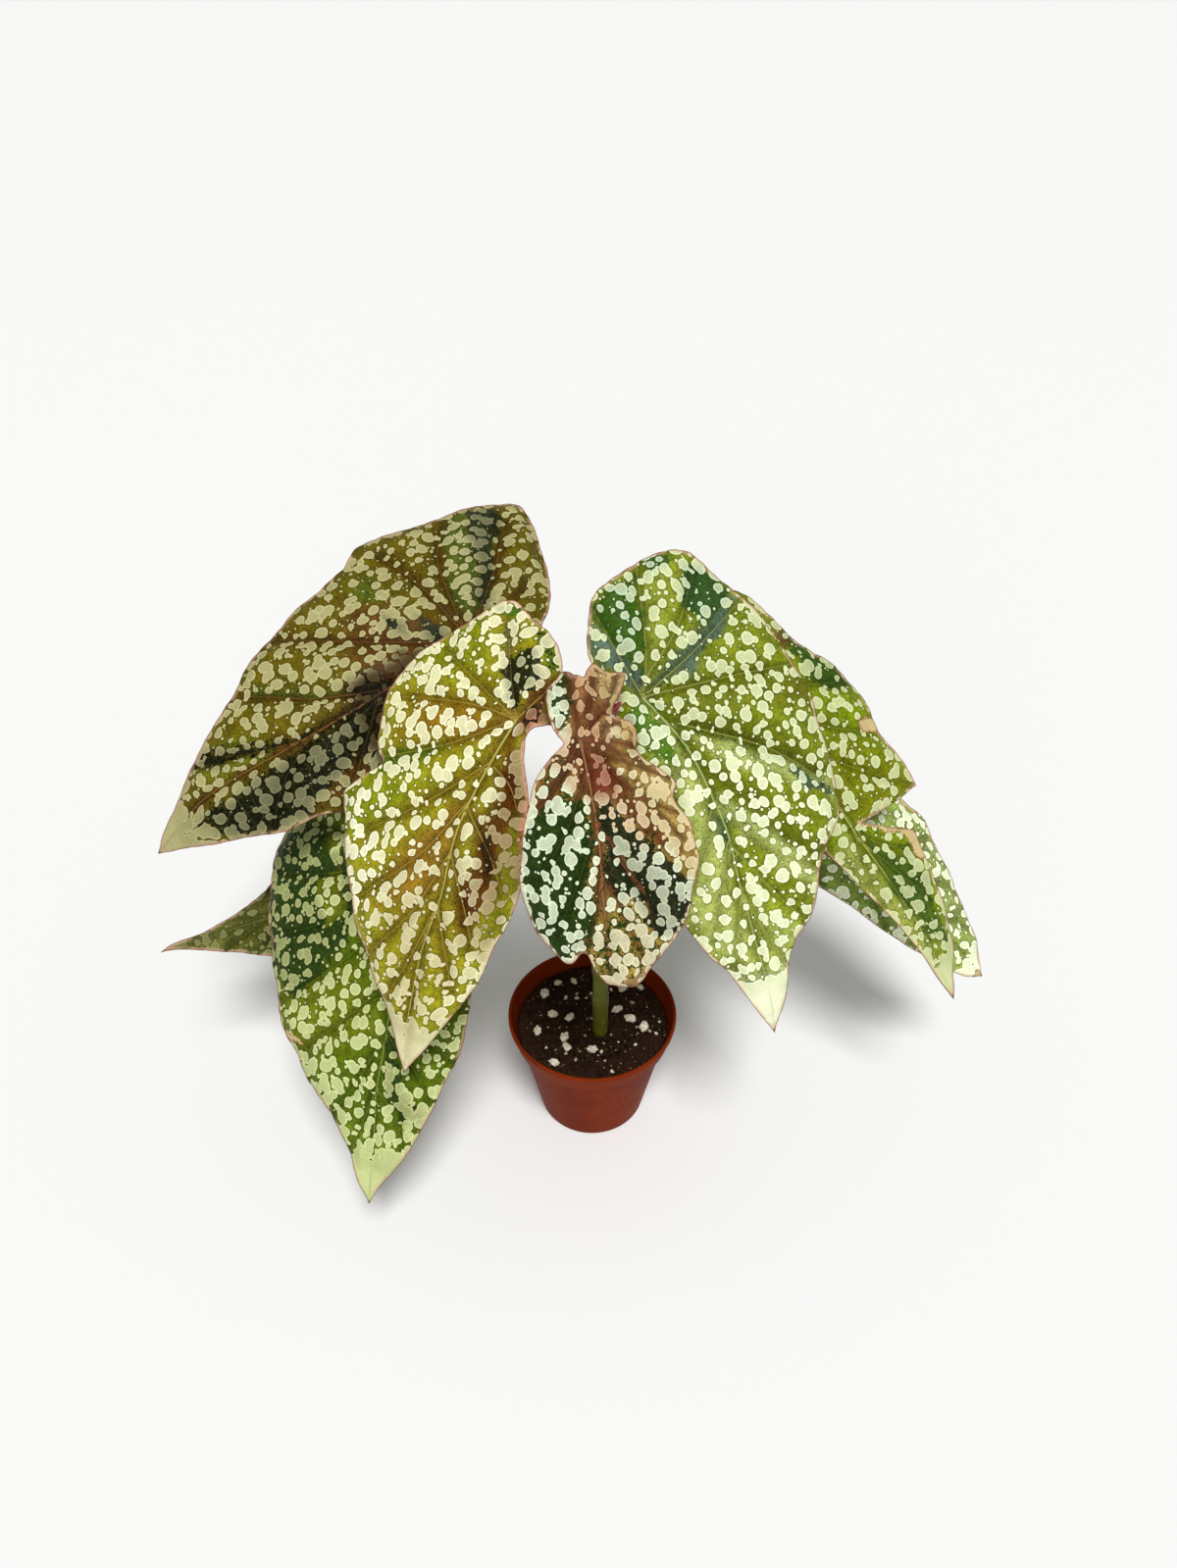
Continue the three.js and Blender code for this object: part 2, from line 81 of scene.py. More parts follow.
def cleanUp(piece, distance=0.00001):
    pickOnly(piece)
    bpy.ops.object.mode_set(mode="EDIT")
    bpy.ops.mesh.select_all(action="SELECT")
    bpy.ops.mesh.remove_doubles(threshold=distance)
    bpy.ops.mesh.normals_make_consistent(inside=False)
    bpy.ops.object.mode_set(mode="OBJECT")


def finishPiece(piece, name, material=None, stands=()):
    piece.name = name
    piece.data.name = name
    if material:
        piece.data.materials.clear()
        piece.data.materials.append(material)
    pickOnly(piece)
    bpy.ops.object.transform_apply(location=True, rotation=True, scale=True)
    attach(piece, "root")
    if stands:
        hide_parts(*stands)


def joinPieces(pieces):
    pickNone()
    for piece in pieces:
        piece.select_set(True)
    bpy.context.view_layer.objects.active = pieces[0]
    bpy.ops.object.join()
    return bpy.context.object


# shader helpers: each one adds its nodes to the sheet, the node tree that is being written
sheet = None


def openSheet(tree):
    global sheet
    sheet = tree


def newMaterial(name):
    material = bpy.data.materials.new(name)
    material.use_nodes = True
    openSheet(material.node_tree)
    return material, sheet.nodes["Principled BSDF"]


def newGroup(name, result, **given):
    group = bpy.data.node_groups.new(name, "ShaderNodeTree")
    for socketName, kind in given.items():
        group.interface.new_socket(socketName, in_out="INPUT", socket_type="NodeSocket" + kind)
    group.interface.new_socket(result, in_out="OUTPUT", socket_type="NodeSocketFloat")
    openSheet(group)
    return group, group.nodes.new("NodeGroupInput").outputs, group.nodes.new("NodeGroupOutput").inputs[0]


def paint(red, green, blue):
    return tuple(((c / 255 + 0.055) / 1.055) ** 2.4 if c > 10 else c / 255 / 12.92
                 for c in (red, green, blue)) + (1,)


def plug(socket, value):
    if isinstance(value, bpy.types.NodeSocket):
        sheet.links.new(value, socket)
    else:
        socket.default_value = value


def put(kind, inputs=None, **settings):
    made = sheet.nodes.new("ShaderNode" + kind)
    for name, value in settings.items():
        setattr(made, name, value)
    for name, value in (inputs or {}).items():
        plug(made.inputs[name], value)
    return made


def calc(operation, *values):
    made = put("Math", operation=operation)
    for socket, value in zip(made.inputs, values):
        plug(socket, value)
    return made.outputs[0]


def times(first, second):
    return calc("MULTIPLY", first, second)


def plus(first, second):
    return calc("ADD", first, second)


def timesPlus(first, second, third):
    return calc("MULTIPLY_ADD", first, second, third)


def vectorCalc(operation, first, second):
    return put("VectorMath", {0: first, 1: second}, operation=operation).outputs[0]


def scaled(vector, factor):
    return put("VectorMath", {0: vector, "Scale": factor}, operation="SCALE").outputs[0]


def blend(factor, first, second, way="MIX"):
    made = put("Mix", {0: factor, 6: first, 7: second}, data_type="RGBA", blend_type=way, clamp_factor=True)
    return made.outputs[2]


def shadeBy(colour, tone):
    return blend(1.0, colour, put("CombineColor", {0: tone, 1: tone, 2: tone}).outputs[0], "MULTIPLY")


def fade(value, low, high, start=0.0, end=1.0):
    made = put("MapRange", interpolation_type="SMOOTHSTEP")
    for socket, given in zip(made.inputs, (value, low, high, start, end)):
        plug(socket, given)
    return made.outputs[0]


def speckle(place, scale, detail=2.0, roughness=0.5, sides="3D"):
    inputs = {"Vector": place, "Scale": scale, "Detail": detail, "Roughness": roughness}
    return put("TexNoise", inputs, noise_dimensions=sides).outputs[0]


def readAttribute(name, output="Vector"):
    return put("Attribute", attribute_name=name).outputs[output]


def splitUp(vector):
    return put("SeparateXYZ", {"Vector": vector}).outputs


def chances(cells):
    return put("SeparateColor", {"Color": cells.outputs["Color"]}).outputs


def objectPlace():
    return scaled(put("TexCoord").outputs["Object"], 1000.0)


def bump(shader, height, strength, distance):
    made = put("Bump", {"Strength": strength, "Distance": distance, "Height": height})
    plug(shader.inputs["Normal"], made.outputs["Normal"])


# silver dots: round spots of four sizes on the leaf map, as millimetres inside the nearest one
dots = {
    "layers": [  # cell, smallest and largest radius, share of cells with a dot, randomness, may touch
        (6.2, 1.4, 2.5, 0.86, 0.8, True),
        (5.6, 0.9, 1.95, 0.62, 1.0, True),
        (3.9, 0.4, 0.85, 0.5, 0.95, False),
        (2.9, 0.22, 0.45, 0.4, 0.95, False),
    ],
    "layerShift": 37.0,
    "nowhere": 20.0,            # added where a cell has no dot
    "blobFillet": 0.15,
    "sway": (0.085, 1.1),       # slow bends that make ovals of some dots
    "wobble": (0.5, 0.06),      # small unevenness of their outlines
    "stretch": (0.88, 1, 1),
}


def dotDistance(place, layer, shift, feature):
    cell, small, large, share, randomness, _ = layer
    moved = vectorCalc("ADD", place, (shift, shift * 0.7, 0))
    cells = put("TexVoronoi", {"Vector": moved, "Scale": 1 / cell, "Randomness": randomness},
                voronoi_dimensions="2D", feature=feature)
    size, rest, _ = chances(cells)
    radius = fade(size, 0.0, 1.0, small, large)
    away = times(cells.outputs["Distance"], cell)
    empty = calc("GREATER_THAN", rest, share)
    return timesPlus(empty, dots["nowhere"], calc("SUBTRACT", away, radius))


def buildDotGroup():
    group, given, result = newGroup("silverDots", "Inside", Place="Vector", Growth="Float")
    place = given["Place"]
    for scale, amount in (dots["sway"], dots["wobble"]):
        waves = put("TexNoise", {"Vector": place, "Scale": scale, "Detail": 1.0}, noise_dimensions="2D")
        centred = vectorCalc("SUBTRACT", waves.outputs["Color"], (0.5, 0.5, 0.5))
        place = vectorCalc("ADD", place, scaled(centred, 2 * amount))
    place = vectorCalc("MULTIPLY", place, dots["stretch"])
    nearest = None
    for number, layer in enumerate(dots["layers"]):
        for feature in ("F1", "F2") if layer[5] else ("F1",):
            away = dotDistance(place, layer, dots["layerShift"] * number, feature)
            nearest = away if nearest is None else calc("SMOOTH_MIN", nearest, away, dots["blobFillet"])
    plug(result, calc("SUBTRACT", given["Growth"], nearest))
    return group


# fine net of small veins between the main ones, as a mask of lines: cell, width and weight of each net
nets = [(5.5, 0.28, 0.6), (2.2, 0.16, 0.4)]


def buildNetGroup():
    group, given, result = newGroup("veinNet", "Lines", Place="Vector")
    total = 0.0
    for cell, width, weight in nets:
        cells = put("TexVoronoi", {"Vector": given["Place"], "Scale": 1 / cell},
                    voronoi_dimensions="2D", feature="DISTANCE_TO_EDGE")
        total = plus(fade(cells.outputs["Distance"], 0.0, width / cell, weight, 0.0), total)
    plug(result, total)
    return group


dotGroup = buildDotGroup()
netGroup = buildNetGroup()


# leaf finishes, shared by all the leaves and steered by what each leaf's mesh carries
leafFinish = {
    "silver": paint(192, 204, 182),
    "flecks": paint(22, 20, 6),
    "paleVein": paint(150, 156, 62),
    "marginLine": paint(128, 72, 50),
    "pinkMargin": paint(205, 160, 140),
    "dry": paint(205, 186, 132),
    "dryEdge": paint(120, 74, 34),
    "under": paint(150, 156, 104),
    "underVein": paint(140, 84, 66),
    "topNet": 0.16,             # how much of the fine net shows on each side
    "underNet": 0.35,
    "vein": 0.8,
    "veinStart": (0.11, 0.45),  # a vein's line is drawn this far from its middle, per mm from the joint
    "veinReach": 3.4,
    "gloss": 0.07,
    "relief": 0.0005,
}


def leafPlace():
    return scaled(put("UVMap", uv_map="leafMap").outputs[0], 100.0)


def leafSpeckle(place, scale, detail=2.0, roughness=0.5):
    return speckle(place, scale, detail, roughness, "2D")


def leafDots(place, growth):
    return put("Group", {"Place": place, "Growth": growth}, node_tree=dotGroup).outputs[0]


def leafNet(place):
    return put("Group", {"Place": place}, node_tree=netGroup).outputs[0]


def veinLine(veinSpan, low, high):
    away = put("VectorMath", {0: readAttribute("veinAway")}, operation="LENGTH").outputs["Value"]
    jointSpan = splitUp(readAttribute("dotMood"))[1]
    reach = calc("MINIMUM", timesPlus(jointSpan, *leafFinish["veinStart"]), leafFinish["veinReach"])
    within = fade(calc("DIVIDE", veinSpan, reach), 0.8, 1.1, 1.0, 0.0)
    return times(fade(away, low, high, 1.0, 0.0), within)


def buildLeafTop():
    material, shader = newMaterial("leafTop")
    look = leafFinish
    place = leafPlace()
    veinSpan, edgeSpan, tipSpan = splitUp(readAttribute("spans"))  # mm to the next vein, margin and tip
    deepPart, fleckPart, dryPart = splitUp(readAttribute("moods"))
    deepTone = readAttribute("deep", "Color")
    fine = leafSpeckle(place, 1.1, 3.0, 0.6)
    patchy = leafSpeckle(place, 0.4)
    broad = leafSpeckle(place, 0.13)
    grit = leafSpeckle(place, 2.2, 2.0, 0.6)
    uneven = calc("SUBTRACT", fine, 0.5)

    # tissue with its dark patches, fine net, flecks and veins
    tissue = shadeBy(readAttribute("tint", "Color"), fade(broad, 0.25, 0.75, 0.8, 1.22))
    ragged = timesPlus(uneven, 1.4, deepPart)
    ragged = timesPlus(calc("SUBTRACT", patchy, 0.5), 1.3, ragged)
    deep = fade(ragged, 0.42, 0.56)
    tissue = blend(deep, tissue, deepTone)
    net = leafNet(place)
    tissue = blend(times(net, look["topNet"]), tissue, look["paleVein"])
    tissue = shadeBy(tissue, times(fade(fine, 0.3, 0.72, 0.7, 1.14), fade(patchy, 0.3, 0.6, 0.8, 1.06)))
    chance = timesPlus(fleckPart, 0.17, leafSpeckle(place, 1.25, 2.0, 0.65))
    tissue = blend(times(fade(chance, 0.69, 0.74), 0.75), tissue, look["flecks"])
    # painted shade: the tissue is darkened in the furrows beside the veins, where shade would fall
    tissue = shadeBy(tissue, fade(veinSpan, 0.6, 3.0, 0.72, 1.0))
    line = veinLine(veinSpan, 0.5, 1.1)
    veinColour = blend(times(deep, 0.75), readAttribute("rib", "Color"), deepTone)
    tissue = blend(times(line, look["vein"]), tissue, veinColour)

    # dots shrink beside the veins, grow at the margin and run together at the tip
    nearVein = fade(veinSpan, 0.6, 2.6, -1.1, 0.0)
    nearMargin = times(fade(edgeSpan, 0.2, 2.4, 0.45, 0.0), fade(broad, 0.3, 0.65, 0.55, 1.1))
    nearTip = plus(fade(tipSpan, -8.0, 9.0, 2.4, 0.0), fade(tipSpan, 0.0, 26.0, 0.4, 0.0))
    more = splitUp(readAttribute("dotMood"))[0]
    inside = leafDots(place, plus(plus(nearVein, nearMargin), plus(nearTip, more)))
    spot = fade(inside, -0.07, 0.07)
    pale = readAttribute("dotTint", "Color")
    creamTip = blend(fade(leafSpeckle(place, 0.5, 3.0, 0.6), 0.35, 0.7, 0.16, 0.42), pale, tissue)
    creamTip = blend(times(spot, 0.6), creamTip, pale)
    creamTip = blend(times(line, 0.45), creamTip, veinColour)
    greyed = blend(fade(grit, 0.4, 0.62, 0.12, 0.52), pale, tissue)
    pale = blend(times(fade(inside, 0.35, 0.8), 0.85), pale, greyed)
    tissue = shadeBy(tissue, fade(inside, -0.8, -0.1, 1.0, 0.66))
    colour = blend(spot, tissue, pale)
    tip = fade(timesPlus(uneven, 6.0, tipSpan), -7.0, -2.0, 1.0, 0.0)
    colour = blend(times(tip, 0.9), colour, creamTip)

    # blush along the margin, dried tissue and the thin dark line of the edge
    blush = times(fade(edgeSpan, 0.5, 1.8, 0.55, 0.0), fade(broad, 0.35, 0.6))
    colour = blend(blush, colour, look["pinkMargin"])
    worn = timesPlus(uneven, 1.1, dryPart)
    dryColour = blend(fade(worn, 0.5, 0.85, 1.0, 0.15), look["dry"], look["dryEdge"])
    colour = blend(fade(worn, 0.42, 0.52), colour, dryColour)
    colour = blend(fade(edgeSpan, 0.18, 0.42, 0.85, 0.0), colour, look["marginLine"])
    plug(shader.inputs["Base Color"], colour)

    rough = calc("SUBTRACT", fade(spot, 0.0, 1.0, 0.46, 0.56), 0.04)
    plug(shader.inputs["Roughness"], timesPlus(fine, 0.12, rough))
    height = timesPlus(spot, 0.14, times(fine, 0.35))
    height = timesPlus(net, -0.28, height)
    height = timesPlus(line, 0.5, height)
    bump(shader, timesPlus(grit, 0.1, height), 0.55, look["relief"])
    shader.inputs["Specular IOR Level"].default_value = look["gloss"]
    return material


def buildLeafUnder():
    material, shader = newMaterial("leafUnder")
    look = leafFinish
    place = leafPlace()
    veinSpan, edgeSpan, _ = splitUp(readAttribute("spans"))
    fine = leafSpeckle(place, 0.9, 3.0, 0.6)
    tissue = blend(0.4, look["under"], readAttribute("tint", "Color"))
    inside = leafDots(place, fade(veinSpan, 0.6, 2.6, -1.1, 0.0))
    tissue = blend(fade(inside, -0.4, 0.4, 0.0, 0.4), tissue, look["silver"])
    net = leafNet(place)
    tissue = blend(times(net, look["underNet"]), tissue, look["underVein"])
    line = veinLine(veinSpan, 0.8, 1.5)
    tissue = blend(times(line, look["vein"]), tissue, look["underVein"])
    tissue = blend(fade(edgeSpan, 0.3, 1.4, 0.6, 0.0), tissue, look["pinkMargin"])
    plug(shader.inputs["Base Color"], shadeBy(tissue, fade(fine, 0.3, 0.7, 0.84, 1.1)))
    plug(shader.inputs["Roughness"], fade(fine, 0.3, 0.7, 0.5, 0.62))
    height = timesPlus(net, 0.4, times(fine, 0.3))
    bump(shader, timesPlus(line, 1.2, height), 0.6, look["relief"])
    return material


leafTop = buildLeafTop()
leafUnder = buildLeafUnder()
print("leaf finishes built")


# leaves: joint and tip in the plant's frame; face is the way that the upper side looks; veins and
# patches lie on the flat leaf as (along the midrib, across it), measured from the joint; the outline
# is (degrees round the joint, distance)
leafShape = {
    "grid": 104, "ringPower": 1.12, "thickness": 0.5, "foldWidth": 5, "cupWidth": 50, "tearLength": 2.2,
    "teeth": 0.3, "toothCount": 70, "wave": 1.6, "waveScale": 0.07, "rippleReach": 16, "curlReach": 7,
    "quilt": 4.2, "quiltReach": 5.2, "flatJoint": (0.5, 9), "midribWidth": (0.56, 0.26),
    "veinWidth": (0.4, 0.17), "mapSpread": (2.3, 1.7), "patchShare": 0.9, "deepSoftness": 1.5,
    "deepDotShare": 0.8, "fleckReach": 4.5, "patchSway": 3.0,
    "patchDrift": [(0.09, 1.0, 20, 40), (0.25, 0.4, 60, 80)],  # scale, share and seeds of the sway
}
usualLeaf = {  # what a leaf has unless its own dictionary says something else
    "slot": "leaf_green", "cup": (15, 15), "crumple": (0.7, 0.05), "ripple": 0.9, "curls": [], "specks": [],
    "bare": [], "dryPatches": [], "dotScale": 1.0, "dotGrowth": 0.0, "dotPatches": [], "denser": [],
}

leaves = {}
leaves["upper_left"] = {
    "slot": "leaf_olive", "joint": (-52, 50, 240), "tip": (-185, 0, 165), "face": (-0.15, -0.7, 0.7),
    "droop": 40, "fold": (8, 12), "cup": (12, 15), "notch": 113, "node": 202, "reach": (0.5, 0.3),
    "lean": 68,
    "outline": [(0, 164), (3, 148), (7, 131), (12, 116), (18, 97), (28, 80), (42, 64), (60, 50), (75, 38),
        (88, 20), (100, 9), (113, 7), (126, 9), (140, 18), (155, 28), (170, 36), (188, 46), (207, 62),
        (219, 82), (226, 80), (239, 73), (252, 66), (268, 67), (282, 71), (295, 67), (310, 74), (325, 88),
        (334, 98), (342, 108), (350, 128), (356, 146), (360, 164)],
    "midrib": [(0, 0), (40, 1), (77, 0), (127, -5), (162, 0)],
    "veins": [[(6, -2), (37, -23), (71, -50)], [(40, 1), (67, -13), (94, -34)],
        [(0, -2), (3, -34), (9, -58)], [(0, 0), (-32, -27), (-51, -47)], [(0, -1), (-10, -40), (-27, -60)],
        [(78, 1), (104, -10), (122, -21)], [(78, 1), (97, 10), (112, 22)], [(45, 3), (65, 20), (80, 32)],
        [(20, 1), (35, 22), (45, 38)], [(0, 0), (-18, -4), (-36, -10)]],
    # painted shade: this leaf's dots, and those in its dark patches, are given a dimmer beige tone than the
    # silver of the other leaves, for the shade it sits in
    "base": (97, 84, 3), "dots": (176, 171, 120), "deepDots": (98, 98, 72), "fleck": 1.0,
    "veinTone": ((76, 36, 8), 3.8, 0.75), "ribs": ((128, 84, 40), (108, 72, 26)),
    "patches": [
        ((92, 54, 16), 8, [(34, -43), (20, -29), (8, -13), (3, -8), (13, -4), (37, 1), (44, -9), (47, -18),
         (39, -33)]),
        ((74, 92, 24), 2.5, [(-29, -65), (-39, -59), (-25, -36), (-14, -11), (-8, -9), (-3, -18),
         (-14, -39)]),
        ((92, 60, 18), 5, [(71, 8), (58, 9), (51, 19), (59, 31), (80, 30), (92, 28), (79, 19)]),
        ((76, 92, 16), 4, [(28, -57), (18, -45), (23, -36), (31, -43)]),
        ((80, 94, 16), 2.5, [(88, -33), (67, -18), (49, -4), (69, -14), (88, -30)]),
        ((112, 56, 34), 4, [(8, -4), (26, 2), (40, 1), (27, -7)]),
        # the dark brown patch along the midrib by the joint is partly the leaf's brown tissue, partly
        # painted shade where the leaf dips under the front left leaf
        ((56, 28, 8), 5, [(50, -12), (20, -4), (34, 8), (48, 28), (66, 30), (64, 4)]),
        ((108, 108, 14), 3, [(108, -22), (128, -14), (125, -8), (96, -2), (92, -9)]),
    ],
    "deepTone": (13, 17, 0),
    "deepPatches": [
        (2.5, [(-39, -60), (-50, -54), (-35, -36), (-23, -18), (-13, -7), (-14, -14), (-25, -36)],
         (38, 46, 24)),
        (1.5, [(-44, -56), (-51, -52), (-44, -41), (-35, -38), (-35, -47)], (28, 34, 10)),
        (2, [(14, -19), (3, -5), (9, -2), (15, -5)], (36, 44, 22)),
        (1.5, [(24, -29), (19, -20), (23, -16), (26, -21)], (30, 36, 12)),
        # near-black patch by the joint: partly dark brown tissue, partly painted shade
        (4, [(47, -10), (36, -1), (46, 12), (57, 28), (62, 25), (58, 9), (48, 0), (53, -7)], (18, 9, 2)),
        (4, [(40, 1), (77, -1), (106, -14), (124, -24), (130, -19), (100, -7), (79, -1), (43, 2)]),
        (4, [(39, 2), (79, 3), (112, 3), (140, 2), (118, 22), (96, 28), (72, 20), (49, 15)]),
    ],
    "dotPatches": [
        # dark dots by the joint: painted shade
        ((76, 62, 36), 3, [(50, -10), (16, -8), (28, 8), (44, 24), (58, 24), (56, 2)]),
        ((170, 166, 116), 8, [(140, -12), (170, 0), (140, 16)]),
    ],
    "tipLength": 21, "dotGrowth": 0.04, "crumple": (0.9, 0.045), "ripple": 1.2,
}
leaves["front_left"] = {
    "slot": "leaf_olive", "joint": (-29, -10, 244), "tip": (-77, -75, 113), "face": (-0.35, -0.8, 0.5),
    "droop": 35, "fold": (5, 30), "cup": (10, 20), "node": 225, "reach": (0.6, 0.3), "lean": 65,
    "outline": [(0, 156), (4, 135), (10, 113), (15, 92), (19.5, 80), (22.2, 70), (25, 58), (27.4, 47),
        (29.6, 38), (32.4, 30), (38, 17), (60, 9), (90, 9), (105, 13), (130, 17), (158, 24), (170, 30),
        (184, 35), (196, 41), (210, 50), (222, 49), (231, 48), (248, 50), (258, 54), (278, 60), (292, 60),
        (301, 61), (307.5, 62), (309, 72), (310.5, 82), (314, 84.5), (319, 87), (326, 92.5), (335, 101.5),
        (342, 111), (350, 122), (356, 136), (360, 156)],
    "midrib": [(0, 0), (37, -5), (56, -5), (77, -3), (105, -4), (155, 0)],
    "veins": [[(0, 0), (-14, -9), (-36, -22)], [(0, 0), (-6, -17), (-16, -42)],
        [(0, 0), (1, -21), (8, -52)], [(0, 0), (18, -22), (34, -50)], [(0, 0), (-12, 5), (-22, 8)],
        [(19, -3), (41, -21), (65, -46)], [(37, -6), (62, -17), (91, -39)],
        [(56, -5), (85, -13), (110, -27)], [(77, -3), (102, -8), (126, -15)],
        [(19, -3), (24, 7), (33, 14)], [(37, -6), (51, 9), (67, 20)], [(56, -5), (77, 8), (92, 15)],
        [(77, -3), (99, 7), (111, 11)]],
    "base": (150, 146, 22), "dots": (234, 232, 189), "deepDots": (156, 158, 116), "fleck": 0.6,
    "veinTone": ((104, 62, 8), 4.2, 0.7), "ribs": ((180, 176, 88), (154, 132, 54)),
    "patches": [
        # the dark brown band on the folded-down right half is partly brown tissue, partly painted shade
        ((86, 24, 0), 4, [(3, 1), (12, 9), (26, 15), (48, 21), (70, 18), (86, 10), (78, 4), (55, 3),
         (30, 3)]),
        ((112, 54, 26), 3, [(1, 1), (-13, 4), (-24, 8), (-15, 11), (-5, 9), (4, 7)]),
        ((166, 96, 74), 1.5, [(-4, 8), (4, 8), (26, 15), (46, 20), (46, 26), (22, 22), (2, 14)]),
        ((140, 102, 14), 7, [(0, -1), (1, -25), (9, -45), (24, -47), (17, -23), (10, -8)]),
        ((84, 110, 8), 3, [(31, -54), (19, -22), (31, -29), (42, -50)]),
        ((124, 136, 14), 6, [(51, -62), (34, -27), (53, -36), (72, -56)]),
        ((146, 108, 28), 6, [(35, -7), (58, -5), (81, -10), (89, -29), (63, -26), (47, -15)]),
        ((122, 122, 20), 3, [(33, 13), (54, 26), (79, 26), (86, 18), (56, 15)]),
        ((128, 134, 14), 5, [(-10, -25), (-20, -20), (-40, -34), (-22, -50), (-8, -46)]),
        ((88, 124, 14), 2, [(-33.6, -6.3), (-35.2, -3.6), (-30.7, 2.7), (-26.1, 7.4), (-22.7, 5.4),
         (-25.8, -0.6)]),
        ((62, 112, 20), 2, [(-39.9, -28.9), (-43, -24), (-42, -18), (-39, -15.8), (-36.6, -19.5),
         (-37.4, -26.9)]),
        ((104, 62, 20), 2, [(-17.7, 2.1), (-21.5, 5.3), (-16.9, 6.5), (-9.2, 8.2), (-5.7, 3.1),
         (-1.3, 0.6), (-10, 0)]),
        ((88, 104, 76), 1, [(-33.6, -21.1), (-34.2, -19.2), (-23.5, -13.6), (-24.9, -16.5)]),
    ],
    "deepTone": (32, 34, 10),
    "deepPatches": [
        (1.5, [(-21.7, -12.1), (-24.9, -10.3), (-26.6, -4.6), (-23.4, -0.6), (-19, 2.6), (-12.6, 2.2),
         (-10.4, -1.9), (-4.9, -1.7), (-2.6, -1.8), (-3, -3.7), (-6.2, -7.3), (-10.7, -10.5)]),
        (1.5, [(-4.2, 2.1), (-8.4, 6.3), (-7.4, 9), (-3.2, 9.8), (1.3, 7.3), (0.7, 3.7)], (44, 26, 12)),
        (1.5, [(44, 4), (44, 8), (60, 14), (63, 12), (53, 7)], (48, 28, 8)),
    ],
    "specks": [
        (0.42, 2, [(-35, -8), (-35, -2), (-26, 8), (-22, 4), (-27, -4)]),
        (0.4, 2, [(-40, -29), (-43, -18), (-37, -18), (-37, -27)]),
        (0.42, 4, [(-36, -24), (-19, -10), (-4, -2), (-9, -9), (-21, -15)]),
        (0.4, 3, [(-1, 1), (-13, 4), (-24, 8), (-15, 11), (-5, 9)]),
        (0.36, 5, [(12, 6), (44, 12), (72, 10), (56, 5), (30, 4)]),
    ],
    "dotPatches": [
        # painted shade: duller dots on the folded-down right half
        ((164, 144, 104), 4, [(3, 2), (30, 5), (60, 6), (92, 6), (96, 20), (60, 28), (20, 24), (-2, 14)]),
        ((150, 108, 76), 3, [(2, 2), (-13, 4), (-26, 8), (-15, 13), (6, 16)]),
        ((206, 150, 118), 1.5, [(-4, 8), (4, 8), (26, 15), (46, 20), (46, 26), (22, 22), (2, 14)]),
        ((246, 245, 212), 6, [(44, -48), (56, -64), (80, -52), (104, -36), (90, -28), (62, -38)]),
        ((208, 200, 156), 10, [(34, -8), (60, -10), (92, -28), (150, -4), (150, 4), (90, 18)]),
    ],
    "tipLength": 25, "dotGrowth": 0.12, "ripple": 1.0,
    "curls": [((12, 9), 14, 3.5), ((45, 22), 12, 2.5), ((45, -52), 8, 2.0)],
}
